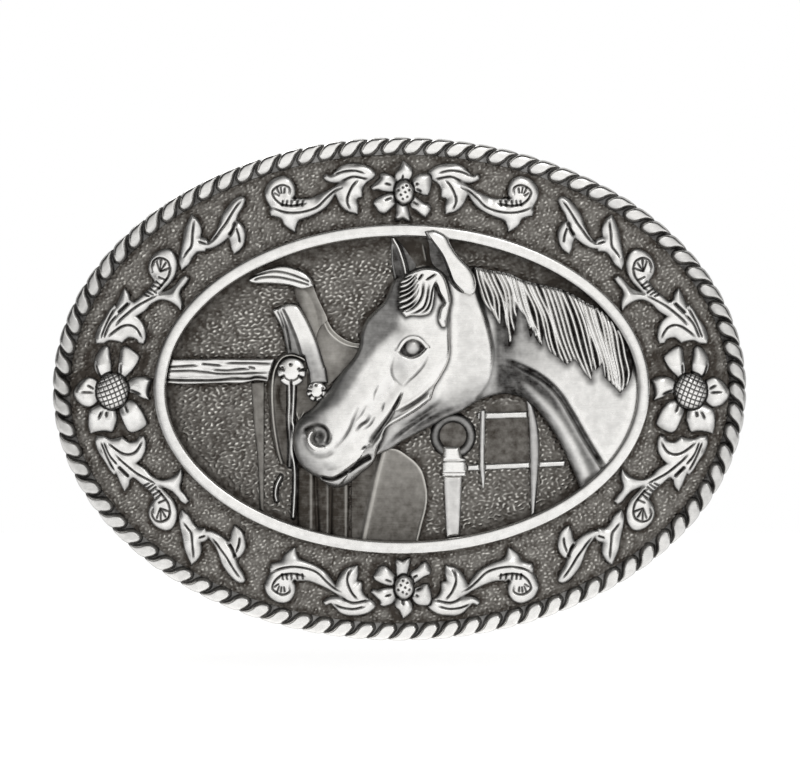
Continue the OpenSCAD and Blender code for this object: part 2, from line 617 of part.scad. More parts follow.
module gate_rails()
    color(silver) picture(plate_t + gate_rail_t) {
        for (rail = GATE_RAILS) polygon([for (p = rail) fitted(p)]);
        shape(GATE_LEFT);
        shape(GATE_RIGHT);
        shape(NECK);
        keeper_drawing();
        translate(fitted(RING)) circle(RING_R);
    }

// ---- Back hardware ----

// Everything on the wearer's side of the back face
module behind_plate()
    translate([0, bend_r, 0]) cylinder(r = bend_r, h = oval_h, center = true, $fn = bend_sides);

saddle_half_w = 3;
saddle_half_h = 14;
saddle_grip = 0.6;    // how far the saddle stops below the barrel's middle

module hinge_saddle()
    color(silver) difference() {
        intersection() {
            translate([hinge_x - saddle_half_w, -1, -saddle_half_h])
                cube([2 * saddle_half_w, hinge_y - saddle_grip + 1, 2 * saddle_half_h]);
            behind_plate();
        }
        translate([hinge_x, hinge_y, 0]) cylinder(r = barrel_r, h = oval_h, center = true);
    }

module hinge_barrel()
    color(silver) translate([hinge_x, hinge_y, 0]) difference() {
        cylinder(r = barrel_r, h = 2 * barrel_half, center = true);
        cylinder(r = wire_r + hinge_gap, h = 2 * barrel_half + 2, center = true);
    }

// Half of the bent wire, above the middle of the buckle
module half_bail() {
    translate([hinge_x, 0, pintle_half]) cylinder(r = wire_r, h = arm_z - heel_r - pintle_half);
    translate([hinge_x - heel_r, 0, arm_z - heel_r]) rotate([90, 0, 0])
        rotate_extrude(angle = 90) translate([heel_r, 0]) circle(wire_r);
    translate([bar_x + corner_r, 0, arm_z]) rotate([0, 90, 0])
        cylinder(r = wire_r, h = bail_depth - heel_r - corner_r);
    translate([bar_x + corner_r, 0, arm_z - corner_r]) rotate([90, 0, 0]) rotate([0, 0, 90])
        rotate_extrude(angle = 90) translate([corner_r, 0]) circle(wire_r);
    translate([bar_x, 0, 0]) cylinder(r = wire_r, h = arm_z - corner_r);
}

module bail()
    color(silver) translate([0, hinge_y, 0]) union() {
        half_bail();
        mirror([0, 0, 1]) half_bail();
    }

pad_y = back_y(prong_x) + pad_t;

module prong_pad()
    color(silver) intersection() {
        translate([prong_x, pad_y, 0]) rotate([90, 0, 0]) cylinder(r = pad_r, h = pad_t + 2);
        behind_plate();
    }

module prong()
    color(silver) translate([prong_x, pad_y, 0]) {
        rotate([-90, 0, 0]) cylinder(r = prong_r, h = shank_len);
        translate([elbow_r, shank_len, 0]) rotate([0, 0, 180 - elbow_turn])
            rotate_extrude(angle = elbow_turn) translate([elbow_r, 0]) circle(prong_r);
        translate([elbow_r * (1 - cos(elbow_turn)), shank_len + elbow_r * sin(elbow_turn), 0])
            rotate([-90, 0, -elbow_turn]) {
                cylinder(r = prong_r, h = tip_len);
                translate([0, 0, tip_len]) sphere(r = prong_r);
            }
    }

base_plate();
border_frame();
rope_edge();
inner_rim();
hinge_saddle();
hinge_barrel();
bail();
prong_pad();
prong();
flower_top();
flower_bottom();
flower_left();
flower_right();
flower_top_centre();
flower_bottom_centre();
flower_left_centre();
flower_right_centre();
scroll_top_left();
scroll_top_right();
scroll_bottom_left();
scroll_bottom_right();
scroll_left_upper();
scroll_right_upper();
scroll_left_lower();
scroll_right_lower();
sprig_upper_left();
sprig_upper_right();
sprig_lower_left();
sprig_lower_right();
horse_head();
forelock();
near_ear();
far_ear();
horse_neck();
mane();
saddle_cantle();
saddle_seat();
saddle_fork();
saddle_skirt();
saddle_fender();
saddle_flap();
stirrup_leathers();
saddle_strings();
concho_large();
concho_small();
fence_rail();
fence_post();
halter_ring();
halter_strap();
strap_keeper();
gate_rails();
gate_post_left();
gate_post_right();
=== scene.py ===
"""Looks of an oval western trophy buckle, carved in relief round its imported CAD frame.

Drawings are [x, z] in millimetres, seen from the front; a third value of 1 makes a sharp corner.
Heights are millimetres in front of the back of the plate, which is bent to a radius of 300 mm.
"""

import json
import math

import bpy
import numpy as np
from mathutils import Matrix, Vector, geometry


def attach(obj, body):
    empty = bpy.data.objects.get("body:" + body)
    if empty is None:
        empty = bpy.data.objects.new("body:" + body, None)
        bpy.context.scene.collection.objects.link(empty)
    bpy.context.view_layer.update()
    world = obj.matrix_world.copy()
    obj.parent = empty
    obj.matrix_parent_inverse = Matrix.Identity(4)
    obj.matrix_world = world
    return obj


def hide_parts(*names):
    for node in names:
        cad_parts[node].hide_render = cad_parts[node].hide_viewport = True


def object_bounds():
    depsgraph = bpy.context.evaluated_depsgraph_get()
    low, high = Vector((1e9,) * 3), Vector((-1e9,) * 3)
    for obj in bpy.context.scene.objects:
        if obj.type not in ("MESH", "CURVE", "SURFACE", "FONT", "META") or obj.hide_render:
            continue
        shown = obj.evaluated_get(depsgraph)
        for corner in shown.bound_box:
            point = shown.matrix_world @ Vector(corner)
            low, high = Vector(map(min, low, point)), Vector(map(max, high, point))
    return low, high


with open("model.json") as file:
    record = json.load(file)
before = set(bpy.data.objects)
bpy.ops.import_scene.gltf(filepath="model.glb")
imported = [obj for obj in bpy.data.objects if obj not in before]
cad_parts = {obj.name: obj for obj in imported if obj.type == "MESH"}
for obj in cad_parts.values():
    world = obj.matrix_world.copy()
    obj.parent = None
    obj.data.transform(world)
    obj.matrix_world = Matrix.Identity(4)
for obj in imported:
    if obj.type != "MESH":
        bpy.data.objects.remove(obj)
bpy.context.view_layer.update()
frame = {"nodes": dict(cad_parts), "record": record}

MM = 0.001
BEND = 300.0                 # radius that the back is bent to
MIRROR_X = 0.3               # the border's pattern is mirrored about this upright line ...
MIRROR_Z = -0.1              # ... and about this level line

# heights of the faces in front of the back
PLATE_TOP = 1.6
BORDER_TOP = 2.8
ORNAMENT_TOP = 3.9
RIM_TOP = 4.8
LEATHER_TOP = 2.4
NECK_TOP = 3.8
HEAD_TOP = 5.2

OVAL = (48.5, 35.0)          # half width and half height over the rope edge
ROPE_W = 2.7
ROPE_LUMPS = 86
RIM = (34.5, 22.85)          # half width and half height of the inner rim
RIM_CENTRE = (0.3, 0.0)
RIM_W = 1.7


# ---- Outlines ----

SCROLL_A = [
    [-14.63, 26.5, 1], [-14.54, 27.94], [-15.2, 29.14], [-16.4, 29.52], [-17.86, 28.89], [-18.65, 27.68],
    [-18.52, 26.42], [-17.95, 25.3], [-18.0, 24.7, 1], [-17.8, 24.1, 1], [-16.47, 23.7], [-15.96, 22.87],
    [-15.2, 22.2], [-14.5, 21.8, 1], [-14.29, 22.75], [-13.8, 23.44], [-12.04, 24.14], [-10.27, 25.2],
    [-9.38, 26.3], [-8.94, 27.2, 1], [-8.24, 25.66], [-7.3, 24.7], [-5.84, 24.3, 1], [-5.77, 25.4],
    [-5.9, 26.4], [-5.27, 26.7], [-5.14, 27.94], [-4.5, 28.8, 1], [-3.8, 29.2], [-3.35, 29.9],
    [-4.06, 30.66], [-5.33, 31.15], [-6.97, 31.25], [-8.24, 30.8], [-9.0, 30.03], [-9.57, 29.55],
    [-10.2, 29.77], [-10.5, 29.4], [-10.2, 29.0], [-9.25, 28.65], [-7.99, 28.76, 1], [-9.89, 27.56],
    [-12.16, 26.55], [-13.5, 26.35],
]
SCROLL_B = [
    [-42.25, 6.35, 1], [-42.4, 7.3], [-42.0, 8.5], [-41.1, 9.8], [-40.4, 11.0], [-39.75, 11.7, 1],
    [-39.5, 11.4, 1], [-38.85, 13.0], [-38.3, 14.0, 1], [-37.75, 13.3], [-37.6, 12.45, 1], [-37.0, 12.1],
    [-36.1, 12.85, 1], [-34.8, 13.95], [-34.05, 15.1, 1], [-34.67, 15.91], [-34.92, 16.8], [-34.8, 17.68],
    [-34.29, 18.57], [-33.4, 19.2], [-32.4, 19.46], [-31.57, 19.01], [-31.06, 17.94], [-31.0, 16.92],
    [-31.32, 15.78], [-31.95, 14.77], [-32.9, 13.8], [-33.4, 13.3, 1], [-31.9, 13.9], [-31.0, 14.65],
    [-30.37, 15.4], [-29.75, 15.75, 1], [-29.3, 15.35, 1], [-29.8, 14.6], [-30.4, 13.9], [-30.56, 13.2],
    [-30.3, 12.4], [-30.2, 11.6], [-30.4, 10.95, 1], [-31.0, 11.6], [-31.9, 12.2], [-33.0, 12.5],
    [-33.9, 12.24], [-34.67, 11.74], [-35.4, 10.97], [-36.7, 10.15, 1], [-35.94, 9.4], [-35.43, 8.3],
    [-35.35, 7.05], [-35.65, 6.35, 1], [-36.3, 6.45, 1], [-36.7, 7.0], [-37.6, 7.25], [-38.2, 6.9],
    [-38.7, 6.45, 1], [-39.5, 6.7], [-40.4, 6.8], [-41.2, 6.45, 1],
]
SPRIG = [
    [-30.3, 16.6, 1], [-30.6, 17.6], [-30.5, 18.8], [-30.23, 19.95], [-30.05, 21.07], [-29.88, 22.1],
    [-29.36, 23.3], [-28.93, 24.25, 1], [-28.23, 23.7], [-27.71, 22.8], [-27.58, 21.94], [-27.68, 21.1, 1],
    [-27.2, 21.0], [-26.75, 20.7], [-26.65, 20.3, 1], [-25.98, 21.07], [-25.46, 21.94], [-24.8, 23.67],
    [-24.42, 24.54], [-23.64, 25.58], [-22.86, 26.4], [-22.08, 26.75], [-21.5, 26.4], [-21.82, 25.32],
    [-22.43, 24.28], [-22.8, 23.2, 1], [-22.34, 23.2], [-21.73, 22.55], [-21.43, 21.68], [-21.52, 20.64],
    [-21.82, 19.77], [-22.34, 19.17], [-22.95, 18.8, 1], [-23.29, 19.51], [-23.47, 20.38], [-23.77, 21.07, 1],
    [-24.94, 20.15], [-26.0, 19.6], [-26.95, 19.5, 1], [-27.02, 19.17, 1], [-28.06, 19.08], [-28.75, 18.39],
    [-29.36, 17.35],
]
TOP_CENTRE = (0.65, 27.3)
TOP_CENTRE_R = (1.3, 1.65)
TOP_PETALS = [
    [[0.5, 31.65, 1], [1.2, 31.2], [1.75, 30.5], [1.7, 29.6], [1.25, 28.9, 1], [0.5, 28.2, 1],
     [-0.3, 28.8, 1], [-0.6, 29.4], [-0.5, 30.0], [0.0, 30.5], [0.25, 31.1]],
    [[1.7, 28.8, 1], [2.1, 29.4], [2.8, 29.78], [3.8, 29.85], [4.35, 29.6], [4.4, 28.5], [4.24, 27.6],
     [3.94, 26.9, 1], [3.28, 26.95], [2.6, 27.3], [1.7, 27.5, 1]],
    [[1.9, 26.9, 1], [2.77, 26.26], [3.43, 25.8], [4.2, 25.5], [4.3, 24.94], [4.0, 24.2], [3.58, 23.75, 1],
     [3.06, 24.06], [2.33, 24.8], [1.67, 25.2], [1.4, 25.8, 1]],
    [[-0.3, 25.9, 1], [-0.45, 25.2], [-0.42, 24.6], [-0.55, 23.8], [-0.35, 23.4, 1], [0.1, 23.5],
     [0.43, 23.65], [0.87, 23.4], [1.45, 23.25, 1], [1.4, 23.84], [1.23, 24.7], [1.0, 25.7, 1]],
    [[-0.6, 27.0, 1], [-1.4, 27.1], [-2.58, 26.7], [-3.39, 26.26], [-3.6, 25.75], [-3.24, 25.16],
     [-2.87, 24.57], [-2.43, 24.35], [-1.92, 24.38], [-1.33, 24.94], [-0.6, 25.7, 1]],
    [[-0.5, 28.7, 1], [-0.9, 29.4], [-1.63, 29.8], [-2.2, 29.93], [-2.7, 29.75], [-2.65, 29.3], [-3.2, 28.75],
     [-4.0, 28.0, 1], [-3.7, 27.62], [-3.1, 27.7], [-2.3, 27.5], [-1.48, 27.4], [-0.6, 27.4, 1]],
]
SIDE_CENTRE = (-40.0, -0.3)
SIDE_CENTRE_R = (2.2, 2.5)
SIDE_PETALS = [
    [[-40.9, 6.0], [-40.5, 5.65], [-40.4, 4.8], [-40.2, 3.4], [-40.2, 1.9, 1], [-41.4, 1.4, 1], [-42.1, 2.2],
     [-42.5, 3.2], [-42.45, 4.3], [-42.0, 5.15], [-41.5, 5.75]],
    [[-38.4, 5.95], [-37.7, 5.75], [-36.8, 5.1], [-36.24, 4.48], [-36.45, 3.73], [-37.1, 2.77],
     [-37.94, 1.92], [-38.6, 1.2, 1], [-39.3, 1.8, 1], [-39.1, 3.4], [-38.95, 4.6], [-38.85, 5.5]],
    [[-38.0, 0.9, 1], [-37.5, 1.3], [-36.8, 1.6], [-35.5, 1.7], [-34.5, 1.2, 1], [-34.9, 0.1],
     [-34.96, -0.85], [-34.85, -1.5, 1], [-35.9, -1.17], [-36.9, -0.53], [-38.0, -0.4, 1]],
    [[-38.2, -1.6, 1], [-37.6, -1.55], [-36.8, -1.92], [-35.9, -3.0], [-35.4, -4.05], [-35.2, -4.9],
     [-36.1, -5.65], [-37.1, -6.05], [-37.8, -5.86], [-38.26, -5.1], [-38.6, -4.26], [-39.0, -3.3],
     [-39.2, -2.2, 1]],
    [[-41.6, -2.0, 1], [-42.5, -2.5], [-43.17, -3.0], [-43.4, -4.05], [-43.4, -5.2], [-43.1, -6.2, 1],
     [-42.2, -5.97], [-41.0, -5.86], [-40.07, -5.97], [-39.65, -5.1], [-39.4, -3.94], [-39.7, -2.4, 1]],
    [[-42.0, 0.9, 1], [-42.5, 1.35], [-43.3, 1.6], [-44.2, 1.25], [-45.0, 0.45], [-45.5, -0.45],
     [-45.2, -1.4], [-44.3, -2.25], [-43.0, -2.4], [-41.9, -1.5, 1]],
]
HEAD = [
    [-1.0, 14.9, 1], [0.3, 15.7], [1.8, 16.5], [3.4, 17.0], [5.2, 16.7], [6.4, 15.7], [7.0, 14.0],
    [7.3, 12.4], [7.0, 10.5], [6.95, 7.5], [7.0, 5.0], [6.6, 3.4], [5.8, 1.9], [4.9, 0.2], [4.4, -1.4, 1],
    [2.5, -2.9], [0.5, -4.1], [-1.6, -5.2], [-2.2, -6.0], [-2.4, -6.9], [-2.9, -7.8], [-3.2, -8.8],
    [-3.5, -9.8], [-4.3, -10.8], [-5.3, -11.6], [-6.4, -12.6], [-7.5, -13.4], [-9.0, -13.65], [-10.3, -13.1],
    [-11.3, -12.3], [-12.4, -11.7], [-13.6, -10.7], [-14.4, -9.3], [-14.8, -7.6], [-14.8, -6.2],
    [-14.3, -4.8], [-13.4, -3.7], [-12.0, -2.6], [-10.5, -1.0], [-9.2, 0.8], [-7.9, 2.5], [-6.5, 4.1],
    [-5.6, 5.8], [-5.4, 7.6, 1], [-4.7, 9.5], [-3.4, 10.9], [-2.3, 12.0], [-1.6, 13.3],
]
FORELOCK = [
    [0.2, 15.0, 1], [0.0, 13.6], [-0.1, 12.2], [0.1, 11.0], [0.9, 10.0, 1], [1.6, 10.2], [3.0, 10.2],
    [4.1, 10.5], [4.6, 11.4], [4.8, 12.8], [5.1, 14.6, 1], [5.6, 13.1], [6.2, 12.0], [5.7, 11.2],
    [5.45, 10.2], [5.5, 9.4], [5.9, 8.6, 1], [6.35, 8.7], [6.5, 9.7], [6.8, 11.2], [7.0, 12.3],
    [6.8, 13.6], [6.3, 15.2], [5.4, 16.3], [3.6, 16.7], [1.9, 16.2],
]
NEAR_EAR = [
    [3.55, 21.75, 1], [4.7, 21.95], [5.7, 21.6], [6.5, 21.0], [7.0, 20.0], [7.7, 18.9], [8.6, 17.8],
    [9.5, 16.9], [10.1, 16.0], [10.5, 14.8], [10.4, 13.6], [10.0, 13.1], [9.2, 13.2], [8.1, 13.7],
    [7.2, 14.6], [6.4, 15.9], [5.5, 16.6], [4.7, 17.3], [4.3, 18.6], [4.15, 20.2],
]
FAR_EAR = [
    [-1.15, 21.0, 1], [-0.2, 20.6], [0.9, 19.3], [1.7, 18.0], [2.3, 17.1], [1.4, 15.9, 1], [0.0, 15.0],
    [-0.6, 15.2], [-0.9, 16.0], [-1.1, 17.6], [-1.2, 19.4],
]
NECK = [
    [6.0, 16.0, 1], [8.0, 16.6], [10.2, 16.9], [12.4, 16.5], [15.0, 16.1], [17.0, 15.2], [20.0, 14.4],
    [22.3, 13.9], [24.2, 13.1], [26.0, 12.0], [27.8, 11.1], [29.3, 9.6], [30.6, 8.0], [31.6, 6.0],
    [32.4, 4.0], [34.0, 0.0], [33.0, -8.0], [26.0, -16.0, 1], [25.1, -13.7], [24.2, -11.4], [23.0, -8.8],
    [21.6, -6.2], [20.0, -3.9], [18.5, -2.2], [17.0, -1.1], [15.0, -0.7], [13.0, -0.9], [10.6, -1.8],
    [8.5, -3.1], [6.5, -3.9], [4.6, -5.0], [2.3, -6.2], [0.0, -7.5], [-1.4, -8.4], [-3.4, -9.2, 1],
    [-2.0, -5.0, 1],
]
MANE = [
    [10.2, 16.9, 1], [12.4, 16.5], [15.0, 16.1], [17.0, 15.2], [20.0, 14.4], [22.3, 13.9], [24.2, 13.1],
    [26.0, 12.0], [27.8, 11.1], [29.3, 9.6], [30.6, 8.0], [31.6, 6.0], [32.2, 4.0], [32.3, 2.4],
    [31.8, 0.9], [30.7, -0.5, 1], [29.7, 0.6], [28.6, 1.6, 1], [28.2, 3.6, 1], [27.2, 2.7, 1],
    [26.9, 3.8, 1], [26.6, 1.3, 1], [25.4, 2.8], [24.4, 4.2, 1], [23.2, 3.5, 1], [22.0, 4.5], [21.0, 5.2],
    [20.2, 7.2], [20.0, 8.4, 1], [19.7, 6.1, 1], [18.9, 7.2], [18.7, 8.4, 1], [18.2, 7.3, 1],
    [17.6, 9.9], [16.8, 10.9], [16.4, 11.6, 1], [16.15, 9.8], [15.9, 8.2], [15.2, 6.0, 1], [15.05, 8.0],
    [14.6, 10.0], [14.1, 11.3, 1], [13.9, 9.1, 1], [12.6, 11.0], [11.5, 12.3], [11.1, 14.0], [10.6, 15.6],
]
CANTLE = [
    [-20.8, 15.2], [-19.5, 15.95], [-18.15, 16.5], [-17.1, 16.9], [-15.9, 16.95], [-14.55, 16.6],
    [-13.35, 16.1], [-12.5, 15.35], [-12.1, 14.4, 1], [-13.5, 14.1], [-15.35, 14.6], [-18.0, 14.85],
    [-20.0, 14.85],
]
SEAT = [
    [-14.9, 14.6, 1], [-14.6, 13.4], [-14.3, 12.4], [-13.6, 10.6, 1], [-12.5, 8.0], [-11.5, 5.4, 1],
    [-10.2, 5.4, 1], [-10.1, 7.5], [-10.0, 9.5], [-10.6, 11.0], [-11.4, 12.7], [-12.1, 14.6, 1],
]
FORK = [
    [-17.6, 10.95], [-16.9, 11.15], [-15.9, 11.7], [-14.9, 11.8], [-14.0, 11.4], [-13.1, 10.0],
    [-12.3, 8.4], [-11.5, 6.5], [-10.9, 4.6], [-10.4, 2.9], [-10.1, 1.6, 1], [-11.2, 1.75], [-12.4, 1.9, 1],
    [-12.8, 3.1], [-13.2, 4.65, 1], [-15.5, 4.75, 1], [-15.9, 6.7], [-16.3, 8.4], [-17.0, 9.8],
]
SKIRT = [
    [-10.0, 9.5, 1], [-9.2, 8.15], [-7.9, 7.05], [-6.6, 6.45], [-5.4, 6.3, 1], [-5.6, 4.8, 1], [-9.9, 0.4, 1],
    [-11.6, 2.4, 1], [-11.6, 7.0], [-10.9, 8.8, 1],
]
FENDER = [
    [-12.6, 3.2, 1], [-13.4, 4.2], [-14.85, 4.85], [-16.2, 4.5], [-17.25, 3.3], [-17.85, 1.5], [-17.95, -0.4],
    [-17.75, -2.7], [-17.5, -5.0], [-17.2, -7.0], [-16.6, -9.3], [-16.2, -10.2, 1], [-14.6, -10.2, 1],
    [-14.4, -7.5], [-14.0, -4.5], [-12.0, -2.6], [-9.6, 0.4, 1], [-10.1, 1.6, 1],
]
FLAP = [
    [-2.6, -8.0, 1], [-0.3, -8.4], [1.2, -9.35], [2.4, -10.3], [3.2, -11.5], [3.7, -13.2], [3.9, -14.9],
    [3.7, -16.8], [3.2, -18.7], [2.6, -21.6, 1], [-6.6, -21.6, 1], [-6.7, -14.0], [-6.4, -11.0, 1],
]
LEATHERS = [
    [[-14.2, -11.6], [-11.9, -11.6], [-11.5, -20.6], [-14.2, -20.6]],
    [[-11.6, -11.0], [-9.8, -11.0], [-9.8, -20.6], [-11.2, -20.6]],
    [[-9.4, -11.0], [-7.0, -11.0], [-7.2, -20.9], [-9.5, -20.9]],
]
CONCHO_LARGE = (-15.1, 2.6, 1.9)      # x, z and radius of the seat that the thongs hang from
RAIL = [
    [-34.0, 4.1, 1], [-25.0, 4.15], [-17.5, 4.1, 1], [-17.9, 2.9], [-18.4, 1.15, 1], [-20.0, 1.3],
    [-22.0, 0.9], [-26.0, 0.9], [-30.0, 0.7], [-34.0, 1.0, 1],
]
POST = [[-20.7, 0.9, 1], [-18.8, 1.1, 1], [-18.8, -6.0], [-18.9, -18.5, 1], [-19.4, -18.5, 1], [-19.8, -9.5],
        [-20.3, -4.8]]
RING = (7.45, -6.5)
RING_R = 3.0
RING_BORE = 2.0
KEEPER = [[6.1, -8.0], [8.3, -8.0], [8.7, -9.6], [9.25, -9.8], [9.3, -12.1], [5.95, -12.1], [5.9, -9.8],
          [6.0, -9.6]]
STRAP = [[6.1, -12.1], [8.7, -12.1], [8.4, -21.5], [6.5, -21.5]]
GATE_RAILS = [
    [[10.9, -3.3], [17.8, -3.1], [17.8, -4.0], [10.9, -4.2]],
    [[9.4, -10.55], [23.2, -9.95], [23.0, -10.8], [9.4, -11.4]],
]
GATE_LEFT = [[11.25, -2.9, 1], [11.95, -2.9, 1], [11.85, -9.6], [11.9, -12.5], [11.6, -14.1, 1],
             [11.35, -12.5], [11.1, -9.6]]
GATE_RIGHT = [[17.6, -1.2, 1], [18.6, -2.3, 1], [19.2, -4.8], [19.45, -7.9], [19.3, -12.0], [18.8, -18.5, 1],
              [18.3, -18.5, 1], [18.15, -9.6], [18.0, -4.8]]


# ---- Curves in a drawing ----

FAR = 1e9                    # a distance past everything


def smooth(points, closed=True, steps=5):
    """The Catmull-Rom curve through a list of points; a sharp corner is a doubled point."""
    knots = []
    for p in points:
        knots += [p[:2]] * (2 if len(p) == 3 else 1)
    if not closed:
        knots = [knots[0]] + knots + [knots[-1]]
    q = np.array(knots, float)
    n = len(q)
    curve = []
    for i in range(n if closed else n - 3):
        a, b, c, d = (q[(i + k) % n] for k in ((-1, 0, 1, 2) if closed else (0, 1, 2, 3)))
        if np.allclose(b, c):
            continue
        for t in np.arange(steps) / steps:
            curve.append((2 * b + (c - a) * t + (2 * a - 5 * b + 4 * c - d) * t**2
                          + (3 * b - a - 3 * c + d) * t**3) / 2)
    if not closed:
        curve.append(q[-1])
    return np.array(curve)


def mirrored(outline, across_x, across_z):
    """An outline mirrored about the border's upright line, its level line, or both."""
    made = []
    for x, z, *corner in outline:
        made.append([2 * MIRROR_X - x if across_x else x, 2 * MIRROR_Z - z if across_z else z, *corner])
    return made


def oval(rx, rz, centre=(0, 0), sides=240):
    """Points round an ellipse."""
    t = np.linspace(0, 2 * math.pi, sides, endpoint=False)
    return np.column_stack([centre[0] + rx * np.cos(t), centre[1] + rz * np.sin(t)])


def step(x, low, high):
    """0 below low, 1 above high, smooth between."""
    t = np.clip((x - low) / (high - low), 0, 1)
    return t * t * (3 - 2 * t)


def round_edge(s, width):
    """A quarter round: 0 at the outline, 1 from width inside it."""
    t = np.clip(s / width, 0, 1)
    return np.sqrt(1 - (1 - t) ** 2)


class Field:
    """A square grid over part of the drawing, on which heights are worked out."""

    def __init__(self, low, high, cell):
        self.cell = cell
        nx, nz = (int(math.ceil((high[k] - low[k]) / cell)) + 5 for k in (0, 1))
        x = low[0] - 2 * cell + cell * np.arange(nx)
        z = low[1] - 2 * cell + cell * np.arange(nz)
        self.x, self.z = np.meshgrid(x, z, indexing="ij")

    @classmethod
    def around(cls, outlines, cell, spare=0):
        """A grid over some outlines, with a number of spare cells all round."""
        points = np.vstack(outlines)
        return cls(points.min(0) - spare * cell, points.max(0) + spare * cell, cell)

    def along(self, line, reach=FAR, closed=False):
        """Distance to a line, the share of the line passed at its nearest point, and which side (+1 left)."""
        line = np.asarray(line, float)
        if closed:
            line = np.vstack([line, line[:1]])
        lengths = np.linalg.norm(np.diff(line, axis=0), axis=1)
        passed = np.concatenate([[0], np.cumsum(lengths)]) / max(lengths.sum(), 1e-9)
        best = np.full(self.x.shape, FAR)
        share = np.zeros(self.x.shape)
        side = np.ones(self.x.shape)
        (x0, z0), (x1, z1) = line.min(0) - reach, line.max(0) + reach
        window = self.window(x0, z0, x1, z1)
        gx, gz = self.x[window], self.z[window]
        b, s, w = best[window], share[window], side[window]
        for k, ((ax, az), (bx, bz)) in enumerate(zip(line[:-1], line[1:])):
            dx, dz = bx - ax, bz - az
            size = max(dx * dx + dz * dz, 1e-12)
            t = np.clip(((gx - ax) * dx + (gz - az) * dz) / size, 0, 1)
            d = np.hypot(gx - ax - t * dx, gz - az - t * dz)
            near = d < b
            b[near] = d[near]
            s[near] = (passed[k] + t * (passed[k + 1] - passed[k]))[near]
            w[near] = np.sign(dx * (gz - az) - dz * (gx - ax))[near]
        return best, share, side

    def window(self, x0, z0, x1, z1):
        """The slices of the grid that cover a rectangle."""
        i = np.clip(np.searchsorted(self.x[:, 0], [x0, x1]), 0, self.x.shape[0])
        j = np.clip(np.searchsorted(self.z[0], [z0, z1]), 0, self.z.shape[1])
        return slice(i[0], i[1]), slice(j[0], j[1])

    def part(self, window):
        """The same grid, cut down to a window."""
        cut = Field.__new__(Field)
        cut.cell, cut.x, cut.z = self.cell, self.x[window], self.z[window]
        return cut

    def inside(self, outline):
        """Signed distance to a closed outline, positive inside it."""
        outline = np.asarray(outline, float)
        distance = self.along(outline, closed=True)[0]
        within = np.zeros(self.x.shape, bool)
        for (ax, az), (bx, bz) in zip(outline, np.roll(outline, -1, axis=0)):
            if az == bz:
                continue
            crosses = ((az > self.z) != (bz > self.z)) & (self.x < (bx - ax) * (self.z - az) / (bz - az) + ax)
            within ^= crosses
        return np.where(within, distance, -distance)

    def shape(self, points):
        """Signed distance to the smooth curve through an outline's points, positive inside it."""
        return self.inside(smooth(points))

    def less(self, s, *outlines):
        """A signed distance with the insides of outlines taken away."""
        for outline in outlines:
            s = np.minimum(s, -self.shape(outline))
        return s

    def side_of(self, points):
        """Signed distance to an open line, positive on its left."""
        distance, _, side = self.along(smooth(points, closed=False))
        return distance * np.where(side == 0, 1, side)

    def line(self, points, width, taper=0.12, widths=None):
        """1 along a drawn line, falling off to its sides and, over a share of its length, at its ends."""
        d, t, _ = self.along(smooth(points, closed=False), reach=4 * width * max(widths or (1, 1)))
        w = width if widths is None else width * (widths[0] + (widths[1] - widths[0]) * t)
        ends = 1 if taper == 0 else step(t, -taper / 2, taper) * step(1 - t, -taper / 2, taper)
        return np.exp(-(d / w) ** 2) * ends

    def lines(self, groups, width, taper=0.12):
        """The same for several lines."""
        total = np.zeros(self.x.shape)
        for points in groups:
            total = np.maximum(total, self.line(points, width, taper))
        return total

    def blob(self, centre, rx, rz=None, turn=0.0):
        """A soft round bump, 1 at its centre; turn is in degrees."""
        c, s = math.cos(math.radians(turn)), math.sin(math.radians(turn))
        x, z = self.x - centre[0], self.z - centre[1]
        u, v = (x * c + z * s) / rx, (z * c - x * s) / (rz or rx)
        return np.exp(-(u * u + v * v))

    def blur(self, values, size):
        """Gaussian blur, size in millimetres."""
        pad = int(3 * size / self.cell) + 2
        big = np.pad(values, pad, mode="edge")
        fx = np.fft.fftfreq(big.shape[0], self.cell)[:, None]
        fz = np.fft.rfftfreq(big.shape[1], self.cell)[None, :]
        keep = np.exp(-2 * (math.pi * size) ** 2 * (fx**2 + fz**2))
        return np.fft.irfft2(np.fft.rfft2(big) * keep, big.shape)[pad:-pad, pad:-pad]

    def grain(self, size_x, size_z, seed, spread=0.35):
        """Seeded bumps of one size, about -1 to 1."""
        noise = np.random.default_rng(seed).standard_normal(self.x.shape)
        fx = np.fft.fftfreq(self.x.shape[0], self.cell)[:, None] * size_x
        fz = np.fft.rfftfreq(self.x.shape[1], self.cell)[None, :] * size_z
        band = np.exp(-((np.hypot(fx, fz) - 1) / spread) ** 2)
        bumps = np.fft.irfft2(np.fft.rfft2(noise) * band, self.x.shape)
        return np.clip(bumps / (2 * bumps.std()), -1.3, 1.3)

    def wear_and_painted_light(self, heights, outside, base, gain, size=0.45):
        """How bright the metal is left, 0 to 1: high places are polished, hollows stay dark."""
        around = self.blur(np.where(outside, heights.min(), heights), size)
        return np.clip(base + gain * (heights - around), 0, 1)


# ---- Meshes ----

SLIVER = 0.03                # the least share of a cell's side between an outline and the next point
BACK_STEP = 4.0              # about how far apart the points inside a piece's back are
CORNERS = ("c0", "c1", "c2", "c3")
EDGES = ("e01", "e12", "e23", "e30")


def cell_polygon(code):
    """The part of a grid cell inside a shape, as corner and edge names; code has a bit for each corner."""
    polygon = []
    for k in range(4):
        here, there = bool(code >> k & 1), bool(code >> (k + 1) % 4 & 1)
        if here:
            polygon.append(CORNERS[k])
        if here != there:
            polygon.append(EDGES[k])
    return polygon


def bent(x, z, h):
    """A drawn point at a height in front of the back, as the bent plate has it; metres."""
    y = BEND - np.sqrt((BEND + h) ** 2 - x**2)
    return np.column_stack([x, y, z]) * MM


